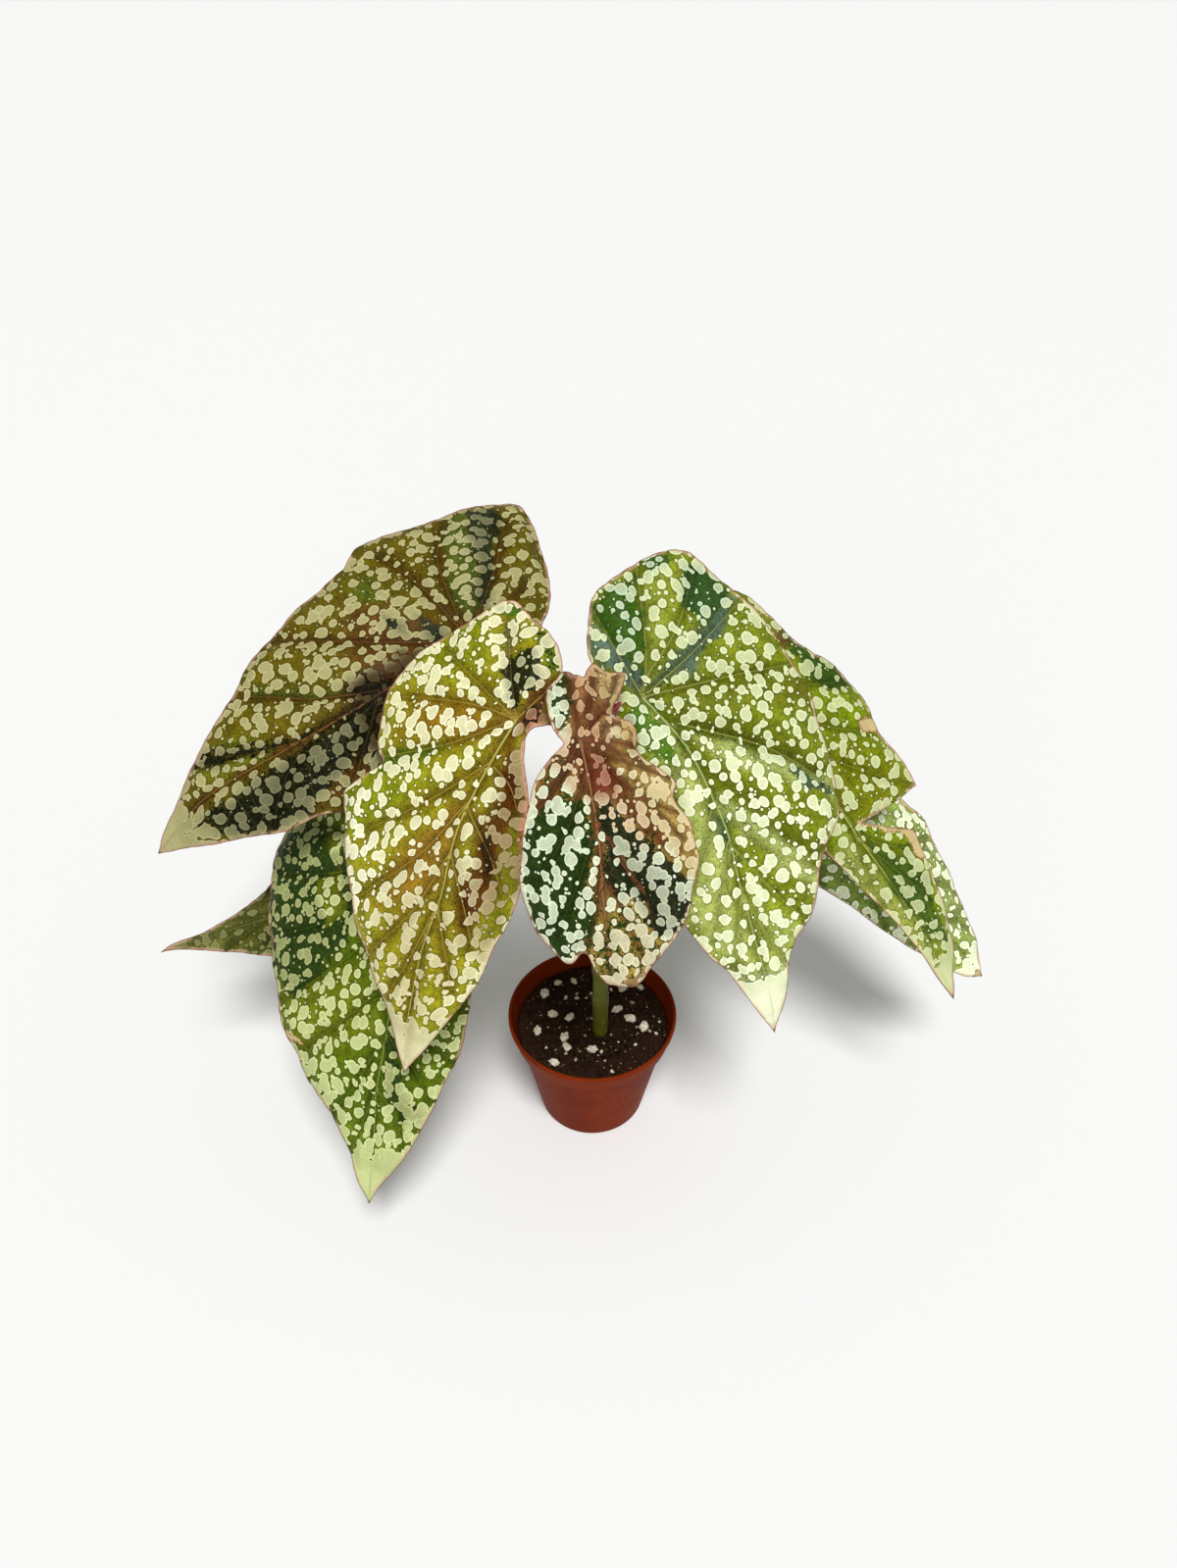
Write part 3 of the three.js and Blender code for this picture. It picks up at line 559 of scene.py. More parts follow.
leaves["young"] = {
    "slot": "leaf_pink", "joint": (-5, -25, 246), "tip": (10, -78, 173), "face": (0, -0.8, 0.5),
    "droop": 40, "fold": (10, 10), "cup": (20, 20), "node": 236, "reach": (0.3, 0.3), "lean": 20,
    "outline": [(0, 95), (4, 96), (9, 91), (13, 87), (19, 82), (24, 78), (28, 72), (32, 68.5), (36, 66),
        (40, 59), (43, 55), (46, 50), (48, 44), (52, 40), (58, 39), (61, 34), (65, 26), (72, 23), (80, 23),
        (95, 22.5), (103, 21.5), (109, 19.4), (115, 16.2), (123, 16.2), (128.5, 18.5), (132, 24),
        (136, 28.5), (141, 32.5), (151, 29.5), (162, 30), (167, 23.5), (176, 25.5), (184, 30), (197, 26),
        (213, 19), (228, 13.5), (247, 9), (262, 7.4), (278, 7.6), (293, 15), (302, 23), (314, 34),
        (322, 46.5), (326, 56.5), (332, 67.5), (337, 76), (343, 82.5), (348, 86), (352, 82), (355, 90),
        (357, 94), (360, 95)],
    "midrib": [(0, 0), (17, 1), (38, 1), (61, -1), (92, -3)],
    "veins": [[(0, 0), (8, 14), (24, 20), (43, 33)], [(28, 1), (48, 8), (59, 14), (77, 18)],
        [(0, 0), (14, -10), (24, -21)], [(0, 0), (-14, 0), (-28, -1)], [(0, 0), (-14, 12), (-26, 18)],
        [(0, 0), (4, 17), (17, 33)], [(12, 1), (34, -11), (51, -26)], [(32, 1), (52, -9), (72, -21)],
        [(46, 0), (66, 5), (84, 10)], [(50, 0), (68, -6), (83, -13)], [(-8, 3), (-17, 7), (-26, 10)],
        [(0, 0), (-5.6, 4.8), (-9.4, 7.3), (-11.9, 9.6), (-13.3, 12.7)],
        [(0, 0), (-0.2, 6.9), (-3.9, 11.3), (-4.6, 15.3)], [(0, 0), (3, 8.3), (7.7, 15.3), (12, 21.6)],
        [(3, 2), (8, 10), (14, 22), (19, 31)], [(14, 10), (25, 20), (33, 33)]],
    "base": (156, 126, 54), "dots": (224, 228, 194), "deepDots": (210, 222, 192), "fleck": 0.4,
    "veinTone": ((104, 52, 28), 2.4, 0.7), "crease": ((88, 36, 20), 1.3, 0.6),
    "ribs": ((150, 104, 64), (110, 62, 38)),
    "patches": [
        ((146, 94, 56), 3, [(-29, -1), (-28, 8), (-22, 13), (-9, 11), (-1, 5), (-1, 0), (-14, -2)]),
        ((172, 136, 86), 3, [(-34, 8), (-28, 24), (-12, 22), (-11, 13), (-20, 12)]),
        ((160, 114, 68), 3, [(-9, 7), (-5, 24), (12, 24), (8, 13), (1, 4)]),
        ((84, 36, 18), 3, [(-8, -11), (-1, 0), (1, 1), (10, 3), (21, 0), (9, -3), (4, -8), (0, -7)]),
        ((184, 154, 82), 3, [(7, 12), (12, 24), (18, 36), (30, 34), (34, 39), (47, 42), (57, 38), (48, 30),
         (34, 22), (20, 15)]),
        ((104, 50, 26), 2.5, [(5, 7), (15, 13), (31, 21), (45, 32), (51, 36), (47, 26), (39, 17), (27, 10),
         (20, 7)]),
        ((108, 32, 26), 3.5, [(4, 1), (8, 7), (17, 11), (25, 8), (22, 2), (12, 0.5)]),
        ((116, 68, 36), 2.5, [(1, -8), (9, -2), (19, -10), (23, -20), (20, -22), (9, -16)]),
        ((96, 64, 32), 1.5, [(10, 1), (28, 1.6), (46, 0.8), (61, 0), (67, -2), (59, -2.6), (42, -1.2),
         (28, -0.6)]),
        ((104, 70, 38), 1.5, [(36, 2), (37, 5), (48, 10), (58, 15), (61, 14), (50, 7)]),
        ((196, 166, 116), 2.5, [(-28, 9), (-24, 20), (-14, 18), (-14, 13), (-19, 10.6)]),
        ((180, 146, 92), 2, [(-2.3, 6.2), (-7.2, 9), (-7, 13), (-3.3, 18), (5, 19), (5.7, 15.7),
         (2.2, 10.4)]),
        ((96, 36, 28), 1, [(-0.4, 0.6), (-2.4, 4.6), (-6.6, 5.6), (-8.6, 9), (-11, 12.8), (-9, 12.4),
         (-7, 9), (-5.6, 6.8), (-1.8, 6)]),
        ((172, 134, 62), 0.8, [(-1.4, -1.4), (-1.4, 1.4), (1.6, 1.4), (1.6, -1.4)]),
        ((182, 150, 68), 3, [(59, -1), (58, 5), (63, 12), (66, 16), (78, 18), (84, 20), (92, 11), (95, 3),
         (95, -7), (87, -12), (80, -12), (68, -6), (65, -3)]),
        ((172, 132, 96), 1.5, [(80, 24), (90, 16), (98, 4), (98, -12), (88, -14), (94, -4), (92, 8),
         (84, 18)]),
    ],
    "deepTone": (32, 56, 10),
    "deepPatches": [
        (2, [(-28, -9), (-27, -1), (-16, -1), (-6, -4), (-8, -10)], (44, 60, 22)),
        (4, [(24, -27), (23, -20), (19, -9), (23, -2), (28, -1), (42, -2), (61, -4), (67, -5), (82, -12),
         (86, -20), (74, -31), (53, -34), (41, -32)]),
        (2, [(26, -14), (23, -6), (41, -10), (59, -20), (58, -25), (40, -19)], (46, 78, 20)),
        (2, [(21, 2), (26, 8), (34, 13), (41, 19), (48, 26), (55, 30), (63, 36), (73, 32), (77, 28),
         (81, 20), (77, 16), (64, 15), (62, 10), (59, 5), (60, 1), (46, 2), (28, 2)], (30, 34, 14)),
    ],
    "bare": [
        (0.8, [(10, 0), (28, 1), (46, 0.4), (61, 0.4), (67, -2), (59, -2.2), (42, -1), (28, -0.6)]),
        (1.2, [(36, 2), (37, 5), (48, 10), (58, 15), (61, 14), (50, 7)]),
    ],
    "specks": [
        (0.5, 5, [(60, 4), (66, 16), (84, 20), (94, 6), (92, -10), (80, -12), (66, -3)]),
        (0.4, 3, [(14, -4), (20, -20), (8, -16), (2, -8)]),
        (0.18, 3, [(-26, -2), (-26, 12), (-12, 20), (-8, 4)]),
        (0.38, 3, [(14, 8), (50, 32), (56, 26), (30, 6)]),
    ],
    "dotPatches": [
        ((194, 158, 120), 2, [(-30, -2), (-30, 14), (-12, 12), (6, 12), (10, 3), (8, -6), (-14, -2)]),
        ((188, 168, 112), 2, [(-34, 8), (-28, 26), (14, 28), (8, 14), (-12, 12)]),
        ((210, 186, 150), 2.5, [(-6, -12), (8, -12), (18, -6), (26, 1), (42, 12), (44, 20), (36, 24),
         (20, 17), (6, 8)]),
        ((166, 118, 94), 3, [(4, 0), (8, 8), (17, 12), (26, 9), (22, 1)]),
        ((214, 200, 154), 2, [(9, 14), (14, 30), (30, 44), (66, 46), (56, 32), (34, 20)]),
        ((182, 188, 160), 4, [(34, 4), (44, 18), (60, 28), (78, 28), (78, 16), (60, 6)]),
        ((216, 210, 174), 4, [(64, 2), (70, 16), (92, 16), (98, -8), (80, -12)]),
    ],
    "tipLength": -14, "dotGrowth": 0.22,
    "denser": [
        (0.3, 3, [(-36, 0), (-36, 28), (12, 30), (8, 10), (-2, 2), (-10, 0)]),
        (0.4, 4, [(6, 12), (14, 30), (30, 44), (66, 46), (56, 32), (34, 20)]),
        (0.42, 5, [(62, 2), (68, 16), (92, 18), (98, -8), (80, -12)]),
    ],
    "crumple": (3.2, 0.11), "crumpleAt": ((-12, 10), 26, 0.8), "ripple": 1.6, "ruffle": (3.2, 7, 170, 85),
    "curls": [
        ((14, 28), 12, 3.0),
        ((-24, 20), 9, 4.0),
        ((2, 22), 7, 4.0),
        ((-20, -10), 7, 2.5),
        ((-5, 8), 3.5, 2.2),
        ((-9, 11), 3, -1.8),
    ],
    "dotScale": 1.12,
}
leaves["front_right"] = {
    "joint": (19, 0, 247), "tip": (75, -60, 120), "face": (0.1, -0.8, 0.5), "droop": 35, "fold": (15, 5),
    "cup": (15, 10), "node": 212, "reach": (0.4, 0.35), "lean": 50,
    "outline": [(0, 154), (3, 140), (8, 122), (16, 111), (27, 98), (36, 94), (44, 87), (54, 76), (68, 69),
        (85, 62), (105, 60), (125, 59), (140, 63), (153, 58), (168, 50), (182, 44), (196, 34), (214, 23),
        (232, 11), (250, 10.5), (264, 11.5), (278, 13.8), (295, 14.5), (312, 18), (326, 34), (339, 66),
        (348, 92), (352.5, 108), (355, 116), (357.2, 129), (358.4, 138), (360, 154)],
    "midrib": [(0, 0), (24, 8), (47, 10), (63, 10), (85, 7), (134, 3), (153, 0)],
    "veins": [[(0, 0), (-18, -2), (-40, -4)], [(0, 0), (-18, 9), (-50, 19)], [(0, 0), (-9, 25), (-22, 52)],
        [(0, 0), (5, 35), (10, 63)], [(14, 8), (38, 39), (66, 60)], [(47, 10), (74, 24), (93, 42)],
        [(64, 9), (89, 18), (111, 28)], [(24, 9), (32, 0), (46, -9)], [(47, 10), (64, -2), (80, -14)],
        [(64, 9), (86, -2), (102, -11)], [(85, 7), (106, 10), (124, 14)], [(85, 7), (100, 0), (118, -8)],
        [(-7, 5), (-21, 24), (-41, 40)]],
    "base": (120, 132, 22), "dots": (212, 220, 172), "deepDots": (184, 202, 170), "fleck": 0.5,
    "veinTone": ((92, 96, 12), 2.6, 0.5), "ribs": ((164, 180, 108), (138, 144, 64)),
    "patches": [
        # these bands along the veins are partly the leaf's own tone, partly painted light and shade of the
        # quilted relief: dark olive above each vein, pale green below it
        ((104, 106, 16), 8, [(1, 6), (5, 36), (13, 64), (34, 65), (24, 52), (13, 25)]),
        ((92, 98, 8), 4, [(1, 4), (18, 26), (35, 47), (55, 62), (61, 59), (46, 42), (31, 26), (20, 11)]),
        ((96, 104, 10), 4, [(26, 11), (47, 25), (69, 39), (83, 47), (91, 42), (75, 30), (56, 19),
         (43, 12)]),
        ((144, 160, 36), 4, [(60, 11), (85, 20), (108, 26), (114, 22), (98, 15), (74, 8)]),
        ((178, 188, 106), 2.5, [(21, 12), (32, 27), (47, 45), (61, 59), (68, 57), (52, 40), (37, 22)]),
        ((182, 194, 108), 2.5, [(45, 14), (61, 23), (81, 34), (93, 40), (100, 36), (77, 23), (56, 12)]),
        ((178, 190, 98), 4, [(2, -2), (11, 2), (32, 6), (49, 8), (69, 6), (92, 3), (122, 2), (108, -12),
         (88, -17), (57, -4), (28, -3), (12, -8)]),
        ((80, 98, 78), 2, [(-36, -8), (-24, -2), (-9, 4), (0, 1), (-5, -5), (-14, -5), (-23, -13)]),
        ((76, 96, 72), 2, [(-1, 2), (-10, 17), (-23, 38), (-22, 47), (-15, 44), (-4, 20)]),
        ((88, 112, 92), 1.5, [(-25, 49), (-22, 50), (0, 20), (-2, 16), (-24, 45)]),
        ((92, 114, 96), 2, [(-36, -7), (-28, -3), (-8, 1), (-8, -4), (-20, -9), (-29, -10)]),
        ((136, 146, 44), 2.5, [(-43, 17), (-49, 33), (-44, 35), (-28, 29), (-10, 11), (-14, 9)]),
        ((84, 106, 66), 2, [(48, 9), (56, 12), (74, 9), (60, 6)]),
        ((174, 188, 86), 5, [(88, 8), (110, 24), (122, 16), (134, 4)]),
        ((216, 222, 178), 9, [(122, -14), (162, -4), (162, 4), (126, 12)]),
    ],
    "deepTone": (54, 90, 20),
    "deepPatches": [
        (2.5, [(-40, -3), (-46, 15), (-30, 12), (-19, 9), (-9, 3), (-25, -2)]),
        (2, [(-43, 35), (-42, 44), (-29, 50), (-21, 43), (-20, 33), (-28, 30)], (46, 80, 30)),
        (2, [(0, -6), (3, 0), (19, 3), (30, 0), (20, -6), (10, -10)], (84, 122, 26)),
        (2, [(-58, 18), (-62, 30), (-48, 34), (-44, 22)]),
        (1.5, [(47, 42), (49, 47), (66, 56), (60, 46)], (70, 92, 60)),
    ],
    "specks": [
        (0.4, 3, [(2, 0), (24, 6), (40, 9), (30, 12), (6, 6)]),
        (0.36, 4, [(20, 16), (40, 40), (50, 46), (34, 24)]),
        (0.34, 4, [(40, 10), (70, 30), (80, 34), (60, 16)]),
    ],
    "dotPatches": [
        # painted light: the first patch makes the dots brighter over the part of the leaf that faces the
        # light, while the leaf's own dots keep the dimmer tone of its shaded side
        ((236, 241, 203), 12, [(24, 14), (72, 56), (100, 37), (135, 9), (156, -2), (91, -22), (57, -6),
         (17, -12), (6, -4)]),
        ((238, 241, 206), 8, [(120, -14), (160, -4), (160, 4), (126, 12)]),
    ],
    "tipLength": 27, "dotGrowth": 0.03,
}
leaves["upper_right"] = {
    "joint": (57, 45, 225), "tip": (161, -20, 96), "face": (0.25, -0.7, 0.6), "droop": 38, "fold": (15, 5),
    "node": 182, "reach": (0.45, 0.16), "lean": 40, "tear": ((84, 6), (103, 25), (90, 40)),
    "outline": [(0, 182), (3, 165), (7, 142), (11, 118), (14, 106), (19, 102), (24, 99), (29, 84),
        (35, 72), (44, 65), (52, 57), (62, 48), (70, 41), (90, 36), (112, 38), (133, 43), (150, 38),
        (170, 28), (190, 18), (210, 10), (230, 9), (260, 14), (290, 22), (315, 34), (332, 52), (343, 70),
        (351, 88), (355, 112), (358, 140), (360, 182)],
    "midrib": [(0, 0), (45, 2), (90, 1), (140, 2), (181, 0)],
    "veins": [[(0, 0), (-18, 18), (-26, 28)], [(0, 0), (4, 20), (4, 34)], [(0, 0), (22, 24), (34, 44)],
        [(14, 1), (40, 18), (62, 41)], [(34, 2), (60, 16), (88, 37)], [(60, 2), (90, 4), (110, 20)],
        [(90, 1), (115, 8), (132, 14)], [(10, 0), (16, -16), (20, -28)], [(30, 1), (44, -16), (56, -26)],
        [(56, 2), (74, -10), (88, -14)], [(84, 1), (104, -5), (120, -7)], [(0, 0), (-14, 4), (-26, 4)]],
    "base": (120, 138, 8), "dots": (204, 211, 158), "deepDots": (180, 190, 140), "fleck": 0.4,
    "veinTone": ((84, 84, 10), 2.6, 0.55), "ribs": ((158, 168, 86), (124, 128, 44)),
    "patches": [
        ((116, 120, 6), 5, [(42, 20), (89, 42), (84, 7), (66, 3)]),
        ((152, 162, 72), 3, [(77, -5), (115, 0), (153, 3), (174, 1), (160, -6), (94, -14)]),
        ((118, 80, 38), 3, [(-2, 26), (6, 30), (4, 38), (-6, 36)]),
    ],
    "deepTone": (56, 84, 18),
    "deepPatches": [
        (2, [(-1, 34), (15, 42), (38, 52), (33, 32), (17, 29)]),
        (1.5, [(88, 4), (113, 12), (132, 14), (158, 8), (146, 3), (115, 1)], (72, 98, 24)),
        (1.5, [(104, 14), (124, 18), (140, 12), (120, 10)]),
    ],
    "dryPatches": [
        (1.8, [(50, 36), (54, 44), (60, 45), (61, 38), (56, 34)]),
        (0.6, [(83.5, 5), (84, 7.5), (101, 24.5), (103, 24), (86, 6)]),
        (1.5, [(96, 18), (99, 26), (106, 29), (117, 25), (113, 19.5), (105, 17.5)]),
        (0.6, [(83, 9), (84, 15), (87, 18), (88, 15), (86, 11)]),
        (0.6, [(86, 37), (91, 41), (90, 37)]),
    ],
    "tipLength": 24, "ripple": 1.0, "dotScale": 0.95,
}
leaves["lower_right"] = {
    "joint": (71, 45, 166), "tip": (185, 10, 76), "face": (0.25, -0.7, 0.7), "droop": 35, "fold": (15, 5),
    "node": 156, "reach": (0.42, 0.23), "lean": 20,
    "outline": [(0, 152), (2, 144), (6, 130), (11, 115), (18, 101), (27, 88), (32, 78), (45, 66), (60, 58),
        (80, 54), (100, 54), (120, 56), (140, 52), (160, 40), (180, 28), (200, 18), (220, 10), (240, 9),
        (265, 14), (290, 20), (310, 28), (325, 40), (340, 57), (346, 72), (350, 92), (354, 118),
        (357, 140), (360, 152)],
    "midrib": [(0, 0), (40, 3), (80, 2), (120, 1), (151, 0)],
    "veins": [[(0, 0), (-20, 20), (-34, 38)], [(0, 0), (2, 28), (-2, 50)], [(0, 0), (22, 30), (34, 52)],
        [(20, 2), (44, 26), (60, 46)], [(44, 3), (68, 20), (86, 34)], [(70, 2), (92, 14), (108, 22)],
        [(96, 2), (114, 8), (126, 12)], [(10, 1), (18, -14), (22, -24)], [(34, 2), (48, -12), (58, -20)],
        [(62, 3), (78, -8), (90, -13)], [(88, 2), (104, -5), (116, -8)], [(0, 0), (-20, 4), (-30, 2)]],
    # painted light: base and dots are made paler than the leaf's own colour to offset the shadow of the
    # leaves above it
    "base": (156, 178, 84), "dots": (244, 250, 216), "deepDots": (236, 246, 206), "fleck": 0.3,
    "veinTone": ((84, 98, 22), 2.4, 0.45), "ribs": ((140, 156, 84), (100, 114, 40)),
    "patches": [
        ((140, 156, 84), 6, [(60, 30), (90, 40), (120, 20), (148, 2), (110, 8)]),
        ((128, 152, 64), 5, [(40, -4), (60, -6), (96, -4), (120, -6), (100, -18), (60, -28)]),
    ],
    # painted light: the deep tone is raised for the same shadow
    "deepTone": (112, 142, 52),
    "deepPatches": [(3, [(30, 20), (50, 30), (60, 50), (36, 56), (22, 40)])],
    "dryPatches": [
        (1.5, [(60, 42), (66, 38), (78, 38), (72, 44)]),
        (1, [(147, -3), (147, 3), (154, 2), (154, -2)]),
    ],
    "tipLength": 13,
}
leaves["lower_left"] = {
    "joint": (-80, 0, 162), "tip": (-97, -90, 42), "face": (-0.2, -0.8, 0.4), "droop": 35, "fold": (5, 15),
    "node": 168, "reach": (0.42, 0.24), "lean": 15,
    "outline": [(0, 154), (3, 140), (9, 124), (14, 108), (21, 93), (27, 82), (34, 68), (45, 52), (60, 38),
        (80, 28), (100, 20), (120, 12), (140, 10), (160, 20), (180, 34), (200, 48), (220, 56), (240, 60),
        (261, 65), (276, 69), (288, 70), (302, 74), (314, 79), (324, 88), (333, 96), (341, 104),
        (349, 113), (356, 129), (360, 154)],
    "midrib": [(0, 0), (40, 4), (74, 4), (98, 2), (125, 2), (153, 0)],
    "veins": [[(0, 0), (-22, -22), (-36, -34)], [(0, 0), (-10, -34), (-16, -56)],
        [(0, 0), (10, -34), (12, -64)], [(4, 0), (30, -30), (42, -60)], [(24, 3), (50, -24), (70, -50)],
        [(51, 4), (72, -17), (90, -38)], [(74, 4), (100, -9), (116, -20)], [(98, 2), (116, -4), (130, -9)],
        [(10, 1), (22, 16), (30, 30)], [(34, 4), (52, 22), (62, 36)], [(56, 4), (76, 22), (84, 34)],
        [(74, 4), (90, 18), (102, 24)], [(98, 2), (110, 11), (124, 14)], [(0, 0), (-22, -6), (-34, -8)]],
    "base": (84, 106, 2), "dots": (198, 205, 144), "deepDots": (152, 156, 98), "fleck": 0.5,
    "veinTone": ((66, 82, 6), 2.6, 0.5), "ribs": ((120, 142, 56), (90, 110, 28)),
    "patches": [
        ((104, 112, 10), 6, [(70, -58), (54, -33), (48, -14), (72, 2), (82, -9), (92, -36)]),
        ((118, 126, 18), 2, [(13, -41), (7, -28), (29, -20), (35, -31)]),
        ((118, 126, 18), 2, [(-6, -39), (-10, -32), (0, -28), (3, -36)]),
        ((84, 88, 8), 4, [(-10, -50), (-9, -31), (27, -21), (20, -38)]),
        ((112, 134, 26), 5, [(112, -14), (146, 0), (116, 14), (104, 22), (120, 4)]),
    ],
    "deepTone": (36, 58, 12),
    "deepPatches": [
        (3, [(13, -72), (-8, -66), (-12, -50), (-4, -25), (23, -18), (33, -16), (48, -26), (67, -41),
         (63, -51), (42, -64)]),
        (2.5, [(70, 5), (77, 9), (98, 14), (108, 23), (114, 14), (98, 5)]),
        (3, [(0, 4), (20, 8), (40, 20), (30, 34), (8, 24)]),
    ],
    "bare": [
        (2, [(13, -41), (7, -28), (29, -20), (35, -31)]),
        (2, [(-6, -39), (-10, -32), (0, -28), (3, -36)]),
    ],
    "dryPatches": [(1.2, [(80, -46), (84, -38), (88, -36), (86, -46)])],
    "tipLength": 24, "dotGrowth": 0.08,
    "denser": [(0.35, 12, [(80, -60), (130, -30), (160, 0), (130, 20), (84, 30)])],
    "crumple": (0.8, 0.05), "ripple": 1.1,
}
leaves["shaded_left"] = {
    "slot": "leaf_dark", "joint": (-83, 44, 100), "tip": (-197, 5, 97), "face": (-0.1, -0.45, 0.8),
    "droop": 40, "fold": (10, 8), "notch": 148, "node": 143, "reach": (0.4, 0.3), "lean": 10,
    "outline": [(0, 124), (1.5, 112), (4, 100), (8, 88), (13, 76), (24, 60), (38, 46), (56, 38), (80, 32),
        (100, 26), (118, 18), (133, 9), (148, 7), (163, 9), (178, 20), (200, 40), (225, 50), (250, 54),
        (275, 56), (300, 58), (320, 62), (336, 66), (348, 74), (354, 85), (358, 103), (360, 124)],
    "midrib": [(0, 0), (40, -2), (80, -1), (122, 0)],
    "veins": [[(0, 0), (-20, -22), (-28, -36)], [(0, 0), (2, -28), (2, -50)],
        [(6, 0), (24, -26), (34, -48)], [(24, -1), (44, -18), (56, -32)], [(46, -2), (62, -10), (74, -17)],
        [(70, -1), (84, -5), (94, -8)], [(6, 0), (16, 14), (22, 26)], [(26, -1), (42, 12), (50, 24)],
        [(50, -2), (66, 8), (74, 14)], [(74, -1), (86, 4), (96, 7)]],
    # painted shade: the dark base and the dim dots copy this leaf as it looks in the shade of the leaves
    # above
    "base": (80, 82, 26), "dots": (120, 122, 74), "deepDots": (108, 112, 66), "fleck": 0.3,
    "veinTone": ((60, 62, 14), 2.2, 0.4), "ribs": ((100, 104, 50), (74, 78, 24)),
    "patches": [((104, 106, 46), 4, [(90, -6), (120, 0), (96, 8)])],
    "deepTone": (50, 54, 20),
    "deepPatches": [
        (4, [(10, -10), (40, -14), (70, -16), (60, -34), (30, -44), (10, -40)]),
        (3, [(30, 4), (60, 4), (80, 8), (60, 20), (40, 24)]),
    ],
    "tipLength": 12,
    "curls": [((118, 0), 10, 5.0)],
}


def outlineRadius(outline, degrees):
    # a smooth curve through the outline's points
    angles, radii = np.array(outline, float).T
    last = len(angles) - 1
    low, high = np.maximum(np.arange(last + 1) - 1, 0), np.minimum(np.arange(last + 1) + 1, last)
    slopes = (radii[high] - radii[low]) / (angles[high] - angles[low])
    degrees = np.asarray(degrees, float) % 360
    k = np.clip(np.searchsorted(angles, degrees, side="right") - 1, 0, last - 1)
    width = angles[k + 1] - angles[k]
    t = (degrees - angles[k]) / width
    return ((2 * t**3 - 3 * t**2 + 1) * radii[k] + (t**3 - 2 * t**2 + t) * width * slopes[k]
            + (3 * t**2 - 2 * t**3) * radii[k + 1] + (t**3 - t**2) * width * slopes[k + 1])


def unit(vector):
    vector = np.asarray(vector, float)
    return vector / np.linalg.norm(vector)


def layOnLeaf(leaf, u, v, lift):
    # from the flat leaf (u along the midrib, v across it) onto the drooping, folded and cupped one
    joint, tip, face = (np.array(leaf[key], float) for key in ("joint", "tip", "face"))
    along = unit(tip - joint)
    out = unit(face - face.dot(along) * along)
    across = np.cross(out, along)
    bend = math.radians(leaf["droop"])
    length = np.linalg.norm(tip - joint) * (bend / 2) / math.sin(bend / 2)
    k, start = bend / length, bend / 2
    side = (np.asarray(v) >= 0).astype(int)
    fold, cup = (np.radians(np.array(leaf[key], float)[side]) for key in ("fold", "cup"))
    width, steps = np.abs(v), 24
    sideways, down = np.zeros_like(width), np.zeros_like(width)
    for step in range(steps):
        at = width * (step + 0.5) / steps
        angle = fold * (1 - np.exp(-at / leafShape["foldWidth"])) + cup * at / leafShape["cupWidth"]
        sideways += np.cos(angle) * width / steps
        down += np.sin(angle) * width / steps
    turn = start - k * u
    normal = np.cos(turn)[:, None] * out - np.sin(turn)[:, None] * along
    return (joint + along * ((math.sin(start) - np.sin(turn)) / k)[:, None]
            + out * ((np.cos(turn) - math.cos(start)) / k)[:, None]
            + across * (np.sign(v) * sideways)[:, None] + normal * (lift - down)[:, None])


def smoothLine(points, steps=10):
    # a rounded line through the points, in short steps
    points = np.array(points, float)
    ends = np.vstack([2 * points[0] - points[1], points, 2 * points[-1] - points[-2]])
    t = np.linspace(0, 1, steps, endpoint=False)[:, None]
    line = []
    for a, b, c, d in zip(ends, ends[1:], ends[2:], ends[3:]):
        line.append(0.5 * (2 * b + (c - a) * t + (2 * a - 5 * b + 4 * c - d) * t**2
                           + (3 * b - a - 3 * c + d) * t**3))
    return np.vstack(line + [points[-1:]])


def toSegments(places, starts, ends):
    # distance from each place to its nearest segment, which one that is, and how far along it
    best = np.full(len(places), 1e9)
    which, along = np.zeros(len(places), int), np.zeros(len(places))
    for number, (a, b) in enumerate(zip(starts, ends)):
        step = b - a
        t = np.clip((places - a) @ step / max(step @ step, 1e-12), 0, 1)
        away = np.linalg.norm(places - a - t[:, None] * step, axis=1)
        nearer = away < best
        best[nearer], which[nearer], along[nearer] = away[nearer], number, t[nearer]
    return best, which, along


def smooth(value, low, high):
    t = np.clip((value - low) / (high - low), 0, 1)
    return t * t * (3 - 2 * t)


def inPatch(places, corners, softness):
    corners = np.array(corners, float)
    after = np.roll(corners, -1, axis=0)
    inside = np.zeros(len(places), bool)
    for a, b in zip(corners, after):
        crosses = (a[1] > places[:, 1]) != (b[1] > places[:, 1])
        slope = (b[0] - a[0]) / (b[1] - a[1] + 1e-12)
        inside ^= crosses & (places[:, 0] < slope * (places[:, 1] - a[1]) + a[0])
    away = toSegments(places, corners, after)[0]
    return smooth(np.where(inside, away, -away), -softness, softness)


def spanFrom(places, centre=(0, 0)):
    return np.linalg.norm(places - np.array(centre), axis=1)


def bulge(places, centre, radius):
    return np.exp(-(spanFrom(places, centre) / radius) ** 2)


def noiseAt(places, scale, seed):
    return np.array([noise.noise((x * scale, y * scale, seed)) for x, y in places])


def evenly(colour, count):
    return np.tile(paint(*colour), (count, 1))


def dye(colours, colour, part):
    return colours + (np.array(paint(*colour)) - colours) * part[:, None]


